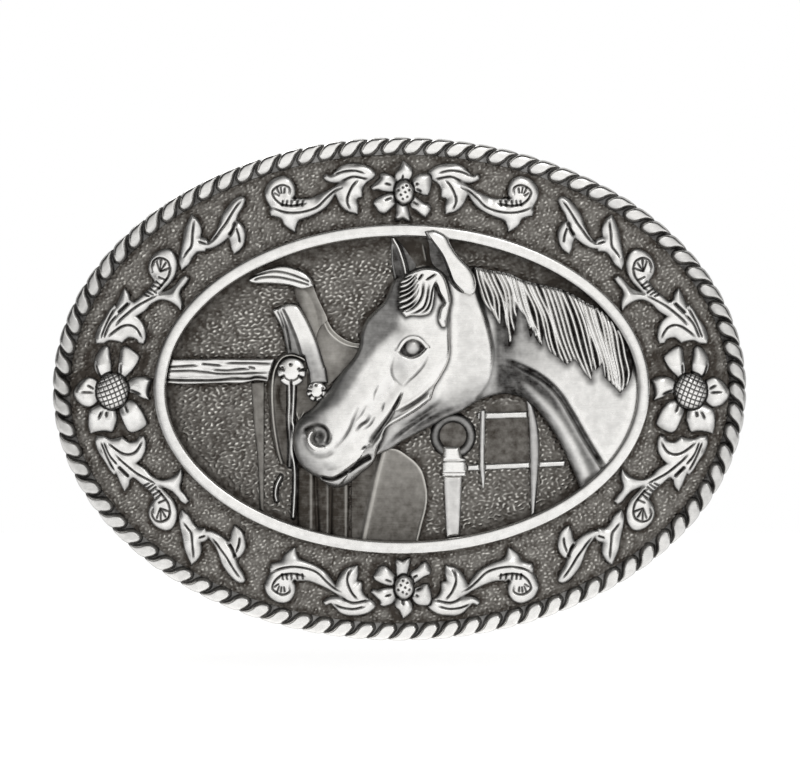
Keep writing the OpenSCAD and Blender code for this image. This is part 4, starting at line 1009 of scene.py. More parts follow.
def build_head():
    """The head: planes, cheek, eye, creases, nostril and mouth."""
    field = picture_field([HEAD], 0.12)
    s = field.shape(HEAD)
    x, z = field.x, field.z
    muzzle = step(-x - 0.35 * z, 4.5, 10.5)
    crisp = 2.45 + 0.80 * round_edge(s, 0.55)
    soft = 1.50 + 1.95 * round_edge(s, 3.6)
    h = PLATE_TOP + crisp * (1 - muzzle) + soft * muzzle
    # the front of the face falls away to the left of the ridge down the nose
    ridge = field.side_of(FACE_RIDGE)
    falling = np.sqrt(np.minimum(ridge + 0.4, 0) ** 2 + 0.5) - 0.7
    h = h - 0.32 * np.minimum(falling, 5.0) * (1 - 0.5 * muzzle)
    h = h + 0.10 * np.exp(-((ridge - 0.9) / 1.5) ** 2) * (1 - muzzle)
    # long muscles of the face, and the cheek's swell
    h = h + 0.25 * field.blob((1.8, 5.9), 3.4, 2.8)
    h = h + 0.30 * field.blob((-4.6, -1.6), 5.5, 1.5, turn=52)
    h = h - 0.30 * field.blob((-2.0, -1.0), 4.4, 1.0, turn=52)
    h = h - 0.22 * field.blob((-0.2, 3.0), 1.1, 1.5)
    h = h + 0.26 * field.blob((4.4, 2.2), 3.6, 1.2, turn=52)
    h = h - 0.20 * field.blob((-7.6, -8.4), 1.4, 3.0, turn=-50)
    # the strip under the cheek, with the jaw's edge
    jaw = field.side_of(JAW_GROOVE)
    under = step(np.minimum(field.side_of(CHEEK), jaw), 0.0, 0.30) * step(6.5 - z, 0, 1)
    strip = field.line([[4.6, -0.9], [2.6, -2.3], [0.4, -3.8], [-1.7, -5.2], [-2.4, -6.6], [-2.8, -7.9]],
                       0.34)
    jaw_cut = field.line(JAW_GROOVE, 0.20, widths=(0.6, 2.3), taper=0.12)
    cheek_cut = field.line([[4.4, 0.2], [3.2, -1.15], [1.8, -2.15], [0.5, -2.85], [-0.4, -3.0]],
                           0.17, taper=0.35)
    cheek_rim = field.line([[4.9, 1.3], [3.6, -0.2], [2.2, -1.3], [0.8, -2.1], [-0.4, -2.5]], 0.30, taper=0.3)
    h = h - 0.62 * under + 0.30 * under * strip - 0.75 * jaw_cut - 0.3 * cheek_cut + 0.10 * cheek_rim
    # the eye
    eye = field.shape(EYE)
    ball = np.sqrt(np.clip(1 - ((x - 1.85) ** 2 + (z - 5.72) ** 2) / 1.05**2, 0, 1))
    h = h + 0.22 * np.exp(-((eye + 0.34) / 0.20) ** 2)
    socket = step(eye, 0.0, 0.20)
    h = np.where(eye > 0, h - 0.55 * socket + 0.50 * ball * socket, h)
    lid = field.line([[-0.45, 5.0], [0.0, 6.3], [0.9, 7.15], [2.0, 7.42], [3.1, 7.05], [4.0, 5.9]],
                     0.14, taper=0.2)
    folds = field.lines([[[-0.75, 4.3], [-1.05, 3.0], [-0.85, 1.8], [-0.2, 0.9], [0.35, 0.5]],
                         [[3.9, 4.5], [3.3, 3.3], [2.3, 2.1], [1.3, 1.2], [0.6, 0.45]]], 0.14, taper=0.4)
    h = h - 0.14 * lid - 0.14 * folds
    # creases of the face
    creases = field.lines([[[-2.95, 0.45], [-3.4, -0.5], [-3.55, -1.5]], [[-2.2, -1.9], [-2.5, -3.0]],
                           [[-4.6, -2.4], [-5.2, -3.4], [-5.9, -4.3]],
                           [[-3.5, -3.9], [-4.1, -4.9], [-5.0, -5.6]]], 0.12, taper=0.7)
    deep = field.lines([[[-4.15, -3.7], [-4.6, -4.45], [-5.4, -5.0], [-5.95, -5.7]],
                        [[-4.4, -7.9], [-4.9, -8.1], [-5.2, -8.4]]], 0.18, taper=0.45)
    long_crease = field.line([[-5.8, -2.6], [-6.45, -4.2], [-7.0, -5.6], [-7.9, -7.0], [-8.9, -8.1]],
                             0.18, taper=0.5)
    beside = field.line([[-5.5, -3.0], [-6.2, -4.6], [-6.8, -5.9], [-7.7, -7.2]], 0.22, taper=0.3)
    h = h - 0.22 * creases - 0.34 * deep - 0.24 * long_crease
    # nostril: a hollow under a curled wing
    nostril = field.blob((-11.0, -6.35), 1.05, 1.25, turn=-15)
    hollow_edge = field.line([[-13.4, -5.9], [-12.5, -5.35], [-11.6, -5.1], [-10.6, -5.3], [-10.0, -6.0],
                              [-9.95, -6.9], [-10.3, -7.6]], 0.36, taper=0.10)
    outer = field.line([[-13.3, -6.3], [-13.0, -7.7], [-12.3, -8.7], [-11.4, -9.2], [-10.2, -9.15],
                        [-9.1, -8.5]],
                       0.36)
    wing = field.line([[-11.8, -5.95], [-12.2, -6.0], [-12.55, -6.6], [-12.45, -7.4], [-11.95, -8.0],
                       [-11.2, -8.3], [-10.3, -8.2]], 0.26, taper=0.06)
    inner = field.line([[-11.5, -6.3], [-11.8, -6.85], [-11.4, -7.5]], 0.24)
    h = h - 1.05 * nostril**1.3 - 0.40 * hollow_edge - 0.22 * outer + 0.50 * wing - 0.3 * inner
    # mouth
    slit = field.line([[-3.95, -9.35], [-5.2, -10.0], [-6.6, -11.0], [-8.0, -11.95], [-9.4, -12.5],
                       [-10.9, -12.25]],
                      0.27, widths=(1.3, 0.6), taper=0.03)
    h = h - 1.0 * slit
    h = h + 0.14 * field.line([[-4.2, -8.8], [-5.4, -9.5], [-7.0, -10.5], [-8.7, -11.3], [-10.4, -11.5]],
                              0.36)
    h = h + 0.26 * field.blob((-3.5, -8.2), 0.6, 0.6)
    h = np.clip(h, PLATE_TOP + 0.6, HEAD_TOP + 0.05)
    # painted shade on the front plane, the temple, the rounding of the muzzle, the chin, over the nostril,
    # the lip, under the cheek and the forelock and beside the long crease; the hollows stay dark
    front = step(-ridge, -0.2, 1.2)
    low_nose = step(-x, 3.5, 10.5)
    temple = field.blob((-0.6, 12.8), 1.5, 2.0)
    round_muzzle = step(-x, 7.5, 12.5) * (1 - step(s, 0.2, 3.4))
    chin = step(-z, 11.8, 13.5)
    over_nostril = field.blob((-11.9, -4.5), 1.8, 0.85, turn=-12)
    lip = field.blob((-10.2, -10.6), 3.2, 0.9, turn=-22)
    painted_edge_highlight = np.exp(-((s - 0.22) / 0.15) ** 2) * step(z, 7.4, 8.4) * step(1.0 - x, 0, 1)
    painted_nose_highlights = field.lines([[[-8.7, -0.1], [-10.0, -1.6]], [[-10.9, -2.1], [-12.4, -3.3]]], 0.24, taper=0.4)
    fore_shade = 1 - step(-field.shape(FORELOCK), 0.10, 0.75)
    gap = np.maximum(field.line([[5.0, 14.4], [5.3, 13.3], [5.85, 12.4], [6.05, 11.8]], 0.26, taper=0.15),
                     field.line([[5.95, 11.5], [5.55, 10.7], [5.45, 9.6], [5.85, 8.6]], 0.16, taper=0.15))
    wear_and_painted_light = field.wear_and_painted_light(h, s < 0, base=0.94, gain=0.7, size=0.55) * step(s, -0.15, 0.22)
    wear_and_painted_light = wear_and_painted_light * (1 - front * (0.64 - 0.16 * low_nose)) * (1 - 0.50 * temple)
    # painted shade: soft grey patches above and below the eye
    wear_and_painted_light = wear_and_painted_light * (1 - 0.34 * field.blob((-0.2, 8.0), 1.5, 1.2))
    wear_and_painted_light = wear_and_painted_light * (1 - 0.26 * field.blob((-0.1, 3.0), 1.1, 1.5))
    wear_and_painted_light = wear_and_painted_light * (1 - 0.62 * round_muzzle) * (1 - 0.45 * chin) * (1 - 0.55 * over_nostril) * (1 - 0.25 * lip)
    wear_and_painted_light = wear_and_painted_light * (1 - 0.30 * under * (1 - strip)) * (1 - 0.80 * fore_shade) * (1 - 0.30 * beside)
    ink_and_shade = np.maximum.reduce([jaw_cut, 0.75 * creases, deep, 0.70 * long_crease, slit, hollow_edge,
                             0.95 * inner, 0.45 * outer, 0.55 * folds, 0.45 * lid,
                             0.96 * socket * (1 - 0.70 * ball), 0.88 * nostril, 0.70 * cheek_cut, gap])
    # painted highlights along the upper left edge and on the nose; the raised nostril wing is polished and
    # given a painted highlight
    wear_and_painted_light = np.clip(wear_and_painted_light * (1 - ink_and_shade) + 0.6 * wing * (1 - inner) + 0.5 * painted_edge_highlight + 0.32 * painted_nose_highlights, 0, 1)
    add_relief("horse_head_relief", "horse_head", field, s, h, wear_and_painted_light)


def strands(field, guides, spacing, seed, width=0.27, steps=12):
    """Locks of hair between guide lines from crest to tips: the height of the lock, 0 to 1, at each spot."""
    rng = np.random.default_rng(seed)
    fitted = []
    for guide in guides:
        line = smooth(guide, closed=False, steps=8)
        d = np.concatenate([[0], np.cumsum(np.linalg.norm(np.diff(line, axis=0), axis=1))])
        u = np.linspace(0, d[-1], steps + 1)
        fitted.append(np.column_stack([np.interp(u, d, line[:, 0]), np.interp(u, d, line[:, 1])]))
    best = np.zeros(field.x.shape)
    for a, b in zip(fitted[:-1], fitted[1:]):
        between = np.linalg.norm(b[steps // 2] - a[steps // 2])
        count = max(1, int(round(between / spacing)))
        wave = 0.17 * np.sin(np.linspace(0, rng.uniform(5, 8), steps + 1) + rng.uniform(0, 6))
        for k in range(count):
            t = (k + rng.uniform(0.4, 0.6)) / count
            line = a * (1 - t) + b * t + np.column_stack([wave, np.zeros(steps + 1)])
            d, share, _ = field.along(line, reach=0.7)
            thick = width * rng.uniform(0.88, 1.12) * (1 - 0.25 * share)
            lock = rng.uniform(0.75, 1.0) * np.sqrt(np.clip(1 - (d / thick) ** 2, 0, 1))
            best = np.maximum(best, lock)
    return best


MANE_GUIDES = [
    [[10.3, 16.9], [10.9, 14.6], [11.3, 12.6], [12.0, 11.4]],
    [[11.2, 16.9], [12.3, 13.8], [12.9, 11.4], [13.8, 9.2]],
    [[13.0, 16.6], [14.3, 13.2], [14.9, 9.8], [15.2, 6.1]],
    [[14.8, 16.2], [15.9, 13.4], [16.4, 11.2], [17.0, 10.0]],
    [[16.8, 15.4], [18.2, 11.6], [19.0, 8.6], [19.7, 6.1]],
    [[19.2, 14.7], [20.8, 10.4], [22.0, 7.0], [23.2, 3.5]],
    [[22.0, 14.0], [23.6, 9.6], [25.0, 5.4], [26.6, 1.3]],
    [[24.6, 12.9], [26.2, 8.6], [27.2, 5.2], [27.6, 2.6]],
    [[27.0, 11.5], [28.4, 7.4], [29.2, 4.0], [29.8, 0.4]],
    [[29.0, 10.0], [30.2, 6.0], [30.6, 3.0], [30.7, -0.4]],
    [[30.8, 7.6], [31.8, 4.6], [32.1, 2.6], [31.8, 0.8]],
]


def build_mane():
    """The mane's locks, lying on the neck."""
    field = picture_field([MANE], 0.10)
    s = np.minimum(np.minimum(field.shape(MANE) + 0.08, field.shape(NECK)), within_rim(field) + 0.2)
    locks = strands(field, MANE_GUIDES, 0.78, seed=11, width=0.275)
    fall = step(s, 0.0, 0.5)
    h = NECK_TOP + 0.02 + 0.90 * locks * (0.45 + 0.55 * fall)
    wear_and_painted_light = np.clip(1.6 * locks, 0, 1) ** 1.5 * step(s, -0.1, 0.25)
    add_relief("mane_locks", "mane", field, s, h, wear_and_painted_light, low=NECK_TOP - 0.6)


FORELOCK_GAPS = [
    [[0.0, 15.15], [1.0, 15.3], [1.75, 15.7]],
    [[0.0, 14.45], [1.0, 14.7], [1.9, 15.4], [2.3, 15.9]],
    [[0.9, 10.75], [1.9, 11.25], [2.75, 12.2], [3.2, 13.3], [3.3, 14.8]],
    [[1.6, 10.35], [2.6, 10.75], [3.4, 11.4], [3.85, 12.7], [4.05, 14.4]],
    [[2.9, 10.4], [3.8, 11.0], [4.3, 12.1], [4.55, 13.6], [5.1, 15.0]],
    [[2.6, 15.1], [3.2, 15.9]],
    [[3.7, 15.1], [5.0, 15.9]],
]
FORELOCK_DEEP_GAPS = [
    [[-0.1, 13.75], [0.95, 14.0], [1.8, 14.65], [2.25, 15.4]],
    [[-0.1, 13.05], [1.05, 13.45], [1.95, 14.15], [2.35, 14.9]],
    [[-0.1, 12.35], [1.15, 12.85], [2.05, 13.6], [2.5, 14.5]],
    [[0.0, 11.6], [1.25, 12.05], [2.15, 12.85], [2.7, 14.0]],
    [[0.2, 10.85], [1.45, 11.4], [2.4, 12.3], [2.95, 13.6]],
]


def build_forelock():
    """The forelock's locks on the forehead, split by dark gaps."""
    field = picture_field([FORELOCK], 0.08)
    fine = field.lines(FORELOCK_GAPS, 0.11, taper=0.25)
    deep = field.lines(FORELOCK_DEEP_GAPS, 0.15, taper=0.0)
    deep = deep * step(2.9 - field.x, 0.0, 1.4)
    split = field.lines([[[5.0, 14.4], [5.3, 13.3], [5.85, 12.4], [6.05, 11.8]]], 0.24, taper=0.15)
    gaps = np.maximum(np.maximum(fine, deep), split)
    s = np.minimum(field.shape(FORELOCK) + 0.12, field.shape(HEAD))
    s = s - 0.45 * gaps * step(1.0 - field.x, 0, 0.8) - 0.5 * split
    h = HEAD_TOP - 0.15 + 0.85 * round_edge(s, 0.55)
    h = h - 0.40 * fine - 0.60 * deep - 0.25 * field.blur(gaps, 0.14)
    wear_and_painted_light = np.clip(1.0 - 1.15 * gaps, 0, 1) * step(s, -0.02, 0.24)
    add_relief("forelock_locks", "forelock", field, s, h, wear_and_painted_light, low=HEAD_TOP - 1.5)


JOWL = [[10.3, 16.0], [11.3, 13.0], [12.3, 10.0], [13.0, 7.5], [13.4, 5.0], [13.2, 2.5], [12.6, 0.5],
        [11.2, -1.4]]
THROAT_GROOVE = [[13.3, 4.2], [15.2, 3.8], [16.9, 3.1], [19.7, 1.6], [22.1, -0.6], [24.1, -3.7], [26.1, -7.2],
                 [28.4, -10.9]]


def build_neck():
    """The neck, with the jowl, the groove above the windpipe and the throat's folds."""
    field = picture_field([NECK], 0.14)
    s = field.less(np.minimum(field.shape(NECK), within_rim(field)), HEAD)
    own = np.minimum(field.shape(NECK), within_rim(field, RIM_W - 3))
    x, z = field.x, field.z
    h = PLATE_TOP + 1.35 + 0.72 * round_edge(own, 1.0)
    # the jowl bulges beside the head and drops to the neck behind it
    jowl = -field.side_of(JOWL)
    lobe = step(jowl, -0.05, 2.8)
    h = h - 0.60 * (1 - step(jowl, -0.1, 0.9)) * step(17 - x, 0, 3.5) + 0.22 * lobe
    # the dark groove above the windpipe, and the windpipe
    groove, share, side = field.along(smooth(THROAT_GROOVE, closed=False))
    ahead = step(x, 12.9, 15.5)
    signed = groove * side
    below = step(-signed, 0.2, 1.2) * ahead
    # the groove is steep on its lower side and eases out above
    cut = np.exp(-(groove / np.where(signed > 0, 0.42, 0.5)) ** 2) * step(share, -0.02, 0.25) * ahead
    h = h - 0.70 * cut
    tube = field.along(smooth([[15.4, 1.3], [17.2, 0.7], [19.2, -1.1], [21.2, -3.3], [23.0, -5.9],
                               [24.6, -8.8], [25.9, -11.8]], closed=False))[0]
    h = h - 0.40 * below + 0.50 * np.exp(-(tube / 1.15) ** 2) * ahead
    # folds under the jaw
    folds = field.lines([[[4.8, -2.9], [2.4, -4.5], [0.4, -5.9], [-2.0, -8.0]],
                         [[9.5, -1.9], [6.0, -3.3], [3.0, -4.9], [0.6, -6.6]],
                         [[5.4, -1.7], [3.0, -3.5], [0.4, -5.2]]], 0.32, taper=0.35)
    throat = step(9.0 - x, 0, 5) * step(-z - 0.3 * x, -2.0, 1.2)
    h = h - 0.25 * throat - 0.28 * folds
    h = np.clip(h, PLATE_TOP + 0.5, NECK_TOP + 0.02)
    wear_and_painted_light = field.wear_and_painted_light(h, s < 0, base=0.84, gain=0.8, size=0.7)
    # painted shade behind the jowl, fading to the right, and on the throat; the groove and the folds stay
    # dark as hollows
    behind = step(x, 12.6, 13.8)
    shade_behind_jowl = field.blob((13.8, 7.6), 2.0, 3.8) * behind
    wear_and_painted_light = wear_and_painted_light - 0.46 * behind * (1 - step(x, 15.0, 24)) - 0.16 * shade_behind_jowl - 0.66 * cut
    wear_and_painted_light = wear_and_painted_light - 0.40 * throat - 0.42 * folds
    # a painted highlight along the windpipe, in painted shade below the groove
    tube_share = 0.72 * np.exp(-(tube / (0.45 + 0.02 * np.maximum(x - 16, 0))) ** 2) * step(x, 15.5, 18.5)
    wear_and_painted_light = wear_and_painted_light - 0.58 * below * (1 - tube_share)
    # painted shade: the underside of the jowl and of the throat turns away and is duller, and the neck's
    # edges are darker
    under = step(x, -1, 4) * step(14.2 - x, 0, 1.6) * step(7.0 - z, 0, 4.5) * (1 - step(own, 0.1, 4.0))
    wear_and_painted_light = wear_and_painted_light * (0.72 + 0.28 * step(own, 0.1, 1.1)) * (1 - 0.55 * under)
    # painted shadows under the mane and beside the head
    beside_head = 1 - step(-field.shape(HEAD), 0.05, 0.55)
    wear_and_painted_light = wear_and_painted_light * (0.30 + 0.70 * step(-field.shape(MANE), 0.05, 1.3))
    wear_and_painted_light = wear_and_painted_light * (1 - 0.62 * beside_head * step(z, -2.0, 2.0))
    add_relief("neck_relief", "horse_neck", field, s, h, np.maximum(wear_and_painted_light, 0.10))


def build_ears():
    """The near ear, which lies over the rim, and the thin far one."""
    field = picture_field([NEAR_EAR], 0.10)
    s = field.less(field.shape(NEAR_EAR) + 0.08, HEAD)
    strip = field.side_of([[3.2, 22.6], [3.5, 21.8], [4.3, 20.6], [5.8, 18.5], [6.75, 16.3], [7.4, 14.7],
                           [8.6, 13.4]])
    bright = step(strip, 0.0, 0.30)
    rise = 2.6 + 1.4 * bright * (0.55 + 0.45 * round_edge(np.minimum(s, strip + 0.3), 0.9))
    h = PLATE_TOP + rise
    h = np.maximum(h, np.where(within_rim(field) < 0.3, RIM_TOP + 0.25, 0))
    wear_and_painted_light = (0.97 - 0.35 * (1 - round_edge(s, 0.35))) * bright + 0.10 * (1 - bright)
    add_relief("near_ear_relief", "near_ear", field, s, h, wear_and_painted_light)

    field = picture_field([FAR_EAR], 0.09)
    s = field.less(np.minimum(field.shape(FAR_EAR), within_rim(field)), HEAD)
    line = [[-1.05, 21.4], [-0.7, 20.6], [-0.1, 19.5], [0.6, 17.4], [1.0, 15.4]]
    bright = field.line(line, 0.34, taper=0.02)
    left = field.line([[-1.05, 20.2], [-0.95, 17.5], [-0.5, 15.3]], 0.14, taper=0.05)
    behind = step(field.side_of(line), 0.1, 1.2)
    h = PLATE_TOP + 1.0 + 0.95 * bright + 0.2 * left
    wear_and_painted_light = 0.05 + 1.1 * bright + 0.25 * left + 0.16 * behind
    add_relief("far_ear_relief", "far_ear", field, s, h, wear_and_painted_light)


# ---- Picture: the saddle ----

def build_cantle():
    """The saddle's raised back edge."""
    field = picture_field([CANTLE], 0.10)
    s = np.minimum(field.shape(CANTLE) + 0.18, within_rim(field))
    lines = [[[-20.6, 15.60], [-18.4, 16.25], [-16.7, 16.30], [-14.8, 15.85], [-12.6, 14.95]],
             [[-20.2, 15.15], [-19.1, 15.50], [-16.95, 15.55], [-14.55, 15.05], [-12.6, 14.45]]]
    cuts = field.lines(lines, 0.12, taper=0.02)
    h = PLATE_TOP + 1.30 + 0.50 * round_edge(s, 0.6) - 0.42 * cuts
    wear_and_painted_light = field.wear_and_painted_light(h, s < 0, base=1.0, gain=0.6, size=0.35) * (1 - 0.9 * cuts) * step(s, -0.12, 0.16)
    add_relief("cantle_roll", "saddle_cantle", field, s, h, wear_and_painted_light)


def build_seat():
    """The seat, with a bright edge towards the fork."""
    field = picture_field([SEAT], 0.12)
    s = field.less(field.shape(SEAT), CANTLE, FORK, SKIRT)
    edge = field.line([[-12.0, 14.6], [-11.2, 12.6], [-10.5, 11.1], [-9.95, 9.6]], 0.17, taper=0)
    inner = field.line([[-13.0, 14.2], [-12.0, 12.6], [-11.2, 10.6], [-10.9, 8.4]], 0.28, taper=0.1)
    h = PLATE_TOP + 0.55 + 0.30 * round_edge(field.shape(SEAT), 1.6) + 0.35 * edge - 0.15 * inner
    across = step(field.x + 0.28 * (field.z - 12), -14.4, -12.6)
    wear_and_painted_light = 0.12 + 0.36 * across + 0.65 * edge - 0.18 * inner
    # painted shadow under the cantle
    wear_and_painted_light = wear_and_painted_light * (0.35 + 0.65 * step(14.4 - field.z, 0.0, 1.2))
    add_relief("seat_leather", "saddle_seat", field, s, h, wear_and_painted_light, grey)


def build_fork():
    """The saddle's front, a leather over its frame."""
    field = picture_field([FORK, FENDER], 0.11)
    foot = field.inside([[-12.6, 3.0], [-10.3, 3.0], [-10.0, 0.9], [-12.4, 0.7]])
    shape = np.maximum(field.shape(FORK), foot)
    beside_concho = step(field.x, -13.1, -12.7)
    s = field.less(shape + 0.08, HEAD)
    s = np.minimum(s, -field.shape(FENDER) + 6.0 * beside_concho)
    h = PLATE_TOP + 0.85 + 0.60 * round_edge(s, 0.7)
    split = [[-16.3, 11.3], [-15.6, 10.0], [-14.9, 8.4], [-14.2, 6.6], [-13.6, 4.5]]
    left = field.side_of(split)
    cuts = np.maximum(field.line(split, 0.18, taper=0.05),
                      field.lines([[[-16.6, 11.0], [-16.0, 9.4], [-15.5, 7.6], [-15.1, 5.0]],
                                   [[-17.0, 10.9], [-16.5, 9.9], [-16.1, 8.6]]], 0.12, taper=0.1))
    h = h - 0.38 * cuts
    wear_and_painted_light = field.wear_and_painted_light(h, s < 0, base=0.94, gain=0.9, size=0.4) * (1 - 0.85 * cuts) * step(s, -0.1, 0.25)
    # painted shade left of the split and towards the bottom, with a painted highlight low on the right
    dim = step(-left, 0.0, 0.4) * step(10.4 - field.z, 0, 2.0)
    lower = step(7.6 - field.z, 0, 3.6)
    gleam = field.blob((-11.6, 4.9), 0.45, 2.2, turn=14)
    wear_and_painted_light = wear_and_painted_light * (1 - 0.62 * dim) * (1 - 0.55 * lower * (1 - 0.5 * gleam))
    add_relief("fork_leather", "saddle_fork", field, s, h, wear_and_painted_light)


def build_skirt():
    """The small leather under the fork, with a double rim."""
    field = picture_field([SKIRT], 0.12)
    s = field.less(field.shape(SKIRT), HEAD, FORK)
    rims = [[[-10.1, 9.6], [-9.3, 8.2], [-8.0, 7.1], [-6.7, 6.5], [-5.2, 6.2]],
            [[-10.5, 9.3], [-9.7, 7.8], [-8.3, 6.6], [-6.9, 6.0], [-5.2, 5.75]]]
    bright = field.lines(rims, 0.18, taper=0)
    h = LEATHER_TOP - 0.32 + 0.30 * bright + 0.10 * field.blob((-9.4, 5.0), 1.8, 2.6)
    wear_and_painted_light = 0.21 + 0.30 * field.blob((-9.6, 5.0), 1.9, 2.6) + 0.70 * bright
    add_relief("skirt_leather", "saddle_skirt", field, s, h, wear_and_painted_light, grey)


def build_fender():
    """The dark broad leather, with a bright rim, a fold and a tab."""
    field = picture_field([FENDER], 0.12, spare=4)
    s = field.less(field.shape(FENDER) + 0.45, HEAD, SKIRT)
    s = np.minimum(s, -field.shape(FORK) + 6.0 * step(-12.7 - field.x, 0.0, 0.4))
    rim = [[-13.2, 4.05], [-14.1, 4.5], [-15.2, 4.72], [-16.3, 4.35], [-17.15, 3.2], [-17.6, 1.6],
           [-17.75, -0.7], [-17.55, -4.4], [-16.95, -8.3], [-16.4, -10.3]]
    fold = field.line([[-16.85, 0.6], [-16.9, -1.3], [-16.4, -2.9], [-15.5, -3.7]], 0.20)
    star = field.lines([[[-14.35, -3.3], [-13.9, -4.5]], [[-13.3, -3.2], [-14.0, -4.6], [-14.4, -5.4]]], 0.13,
                       taper=0.2)
    tab = field.line([[-13.0, 2.75], [-12.3, 2.5], [-12.0, 1.8], [-12.15, 0.9]], 0.28, taper=0.1)
    bright = field.line(rim, 0.27, taper=0)
    h = LEATHER_TOP - 0.45 + 0.20 * step(s, 0.3, 2.4) + 0.42 * bright - 0.2 * fold + 0.35 * tab + 0.2 * star
    outside = step(field.shape(FENDER), -0.1, 0.2)
    wear_and_painted_light = 0.12 * outside + 0.10 * field.blob((-14.0, -1.6), 1.4, 3.0) - 0.1 * fold
    wear_and_painted_light = wear_and_painted_light + 0.85 * bright * (1 - 0.35 * step(-field.z, 0, 9)) + 0.7 * tab + 0.7 * star
    add_relief("fender_leather", "saddle_fender", field, s, h, wear_and_painted_light, grey)


def build_flap():
    """The leather under the neck, between a strap and a bordered edge."""
    field = picture_field([FLAP], 0.13)
    s = field.less(np.minimum(field.shape(FLAP), within_rim(field)), HEAD, NECK)
    strap = [[-2.2, -8.6], [-3.0, -11.6], [-3.8, -15.2], [-4.7, -19.4], [-5.2, -21.8]]
    edge = [[-2.0, -8.15], [-0.3, -8.55], [1.1, -9.45], [2.25, -10.4], [3.05, -11.55], [3.52, -13.2],
            [3.72, -14.9], [3.5, -16.8], [3.0, -18.7], [2.4, -21.2]]
    inner = step(field.side_of(strap), 0.0, 0.35)
    band, border = field.line(strap, 0.42, taper=0), field.line(edge, 0.18, taper=0)
    h = LEATHER_TOP - 0.46 + 0.18 * inner + 0.36 * band + 0.22 * border
    wear_and_painted_light = 0.10 + (0.08 + 0.20 * step(field.z, -20, -10)) * inner + 0.62 * band + 0.62 * border
    add_relief("flap_leather", "saddle_flap", field, s, h, wear_and_painted_light, grey)


LEATHER_SHEET = [[-14.2, -11.0], [-7.0, -11.0], [-7.1, -21.2], [-14.2, -21.2]]


def build_leathers():
    """Upright strips behind the thongs, in one sheet with narrow dark gaps between them."""
    field = picture_field(LEATHERS, 0.11)
    s = field.less(np.minimum(field.inside(LEATHER_SHEET), within_rim(field)), HEAD)
    h = np.full(field.x.shape, LEATHER_TOP - 0.45)
    wear_and_painted_light = np.zeros(field.x.shape)
    top = LEATHER_SHEET[0][1]
    for (left, _), (right, _), (right_low, low), (left_low, _) in LEATHERS:
        down = np.clip((top - field.z) / (top - low), 0, 1)
        own = np.minimum(field.x - left - (left_low - left) * down,
                         right + (right_low - right) * down - field.x)
        h = np.maximum(h, LEATHER_TOP - 0.40 + 0.30 * round_edge(own, 0.5) * (own > 0))
        # painted highlight: a bright stripe down the right of each strip, which is otherwise dark
        tone_and_sheen = 0.03 + 0.42 * np.exp(-((field.x - (left + right) / 2 - 0.75) / 0.16) ** 2)
        wear_and_painted_light = np.where(own > 0.05, tone_and_sheen, wear_and_painted_light)
    add_relief("stirrup_leather_strips", "stirrup_leathers", field, s, h, wear_and_painted_light, grey)


THONGS = [
    [[-14.65, 0.9], [-14.74, -1.95], [-14.87, -4.4], [-14.72, -5.4], [-14.95, -8.3], [-14.6, -10.7],
     [-14.55, -13.0], [-14.65, -15.5], [-14.8, -17.8]],
    [[-15.35, 0.9], [-15.33, -1.95], [-15.4, -4.4], [-15.2, -7.5], [-15.3, -10.7]],
    [[-16.5, -12.2], [-17.05, -13.3], [-17.25, -14.5], [-17.1, -15.5]],
]


def build_strings():
    """Thongs hanging from the large concho, and a short one by the fender's foot."""
    field = picture_field(THONGS, 0.09, spare=6)
    s = np.full(field.x.shape, -FAR)
    h = np.full(field.x.shape, LEATHER_TOP - 0.2)
    wear_and_painted_light = np.zeros(field.x.shape)
    for string, end in zip(THONGS, (0.85, 0.30, 0.8)):
        d, share, _ = field.along(smooth(string, closed=False, steps=8))
        s = np.maximum(s, 0.44 - d)
        tube = np.sqrt(np.clip(1 - (d / 0.27) ** 2, 0, 1))
        h = np.maximum(h, LEATHER_TOP - 0.2 + 0.85 * tube)
        wear_and_painted_light = np.maximum(wear_and_painted_light, tube**1.5 * (1 + (end - 1) * step(share, 0.35, 0.65)))
    from_concho = np.hypot(field.x - CONCHO_LARGE[0], field.z - CONCHO_LARGE[1]) - CONCHO_LARGE[2]
    s = field.less(np.minimum(s, from_concho + 0.3), HEAD)
    add_relief("thongs", "saddle_strings", field, s, h, wear_and_painted_light)


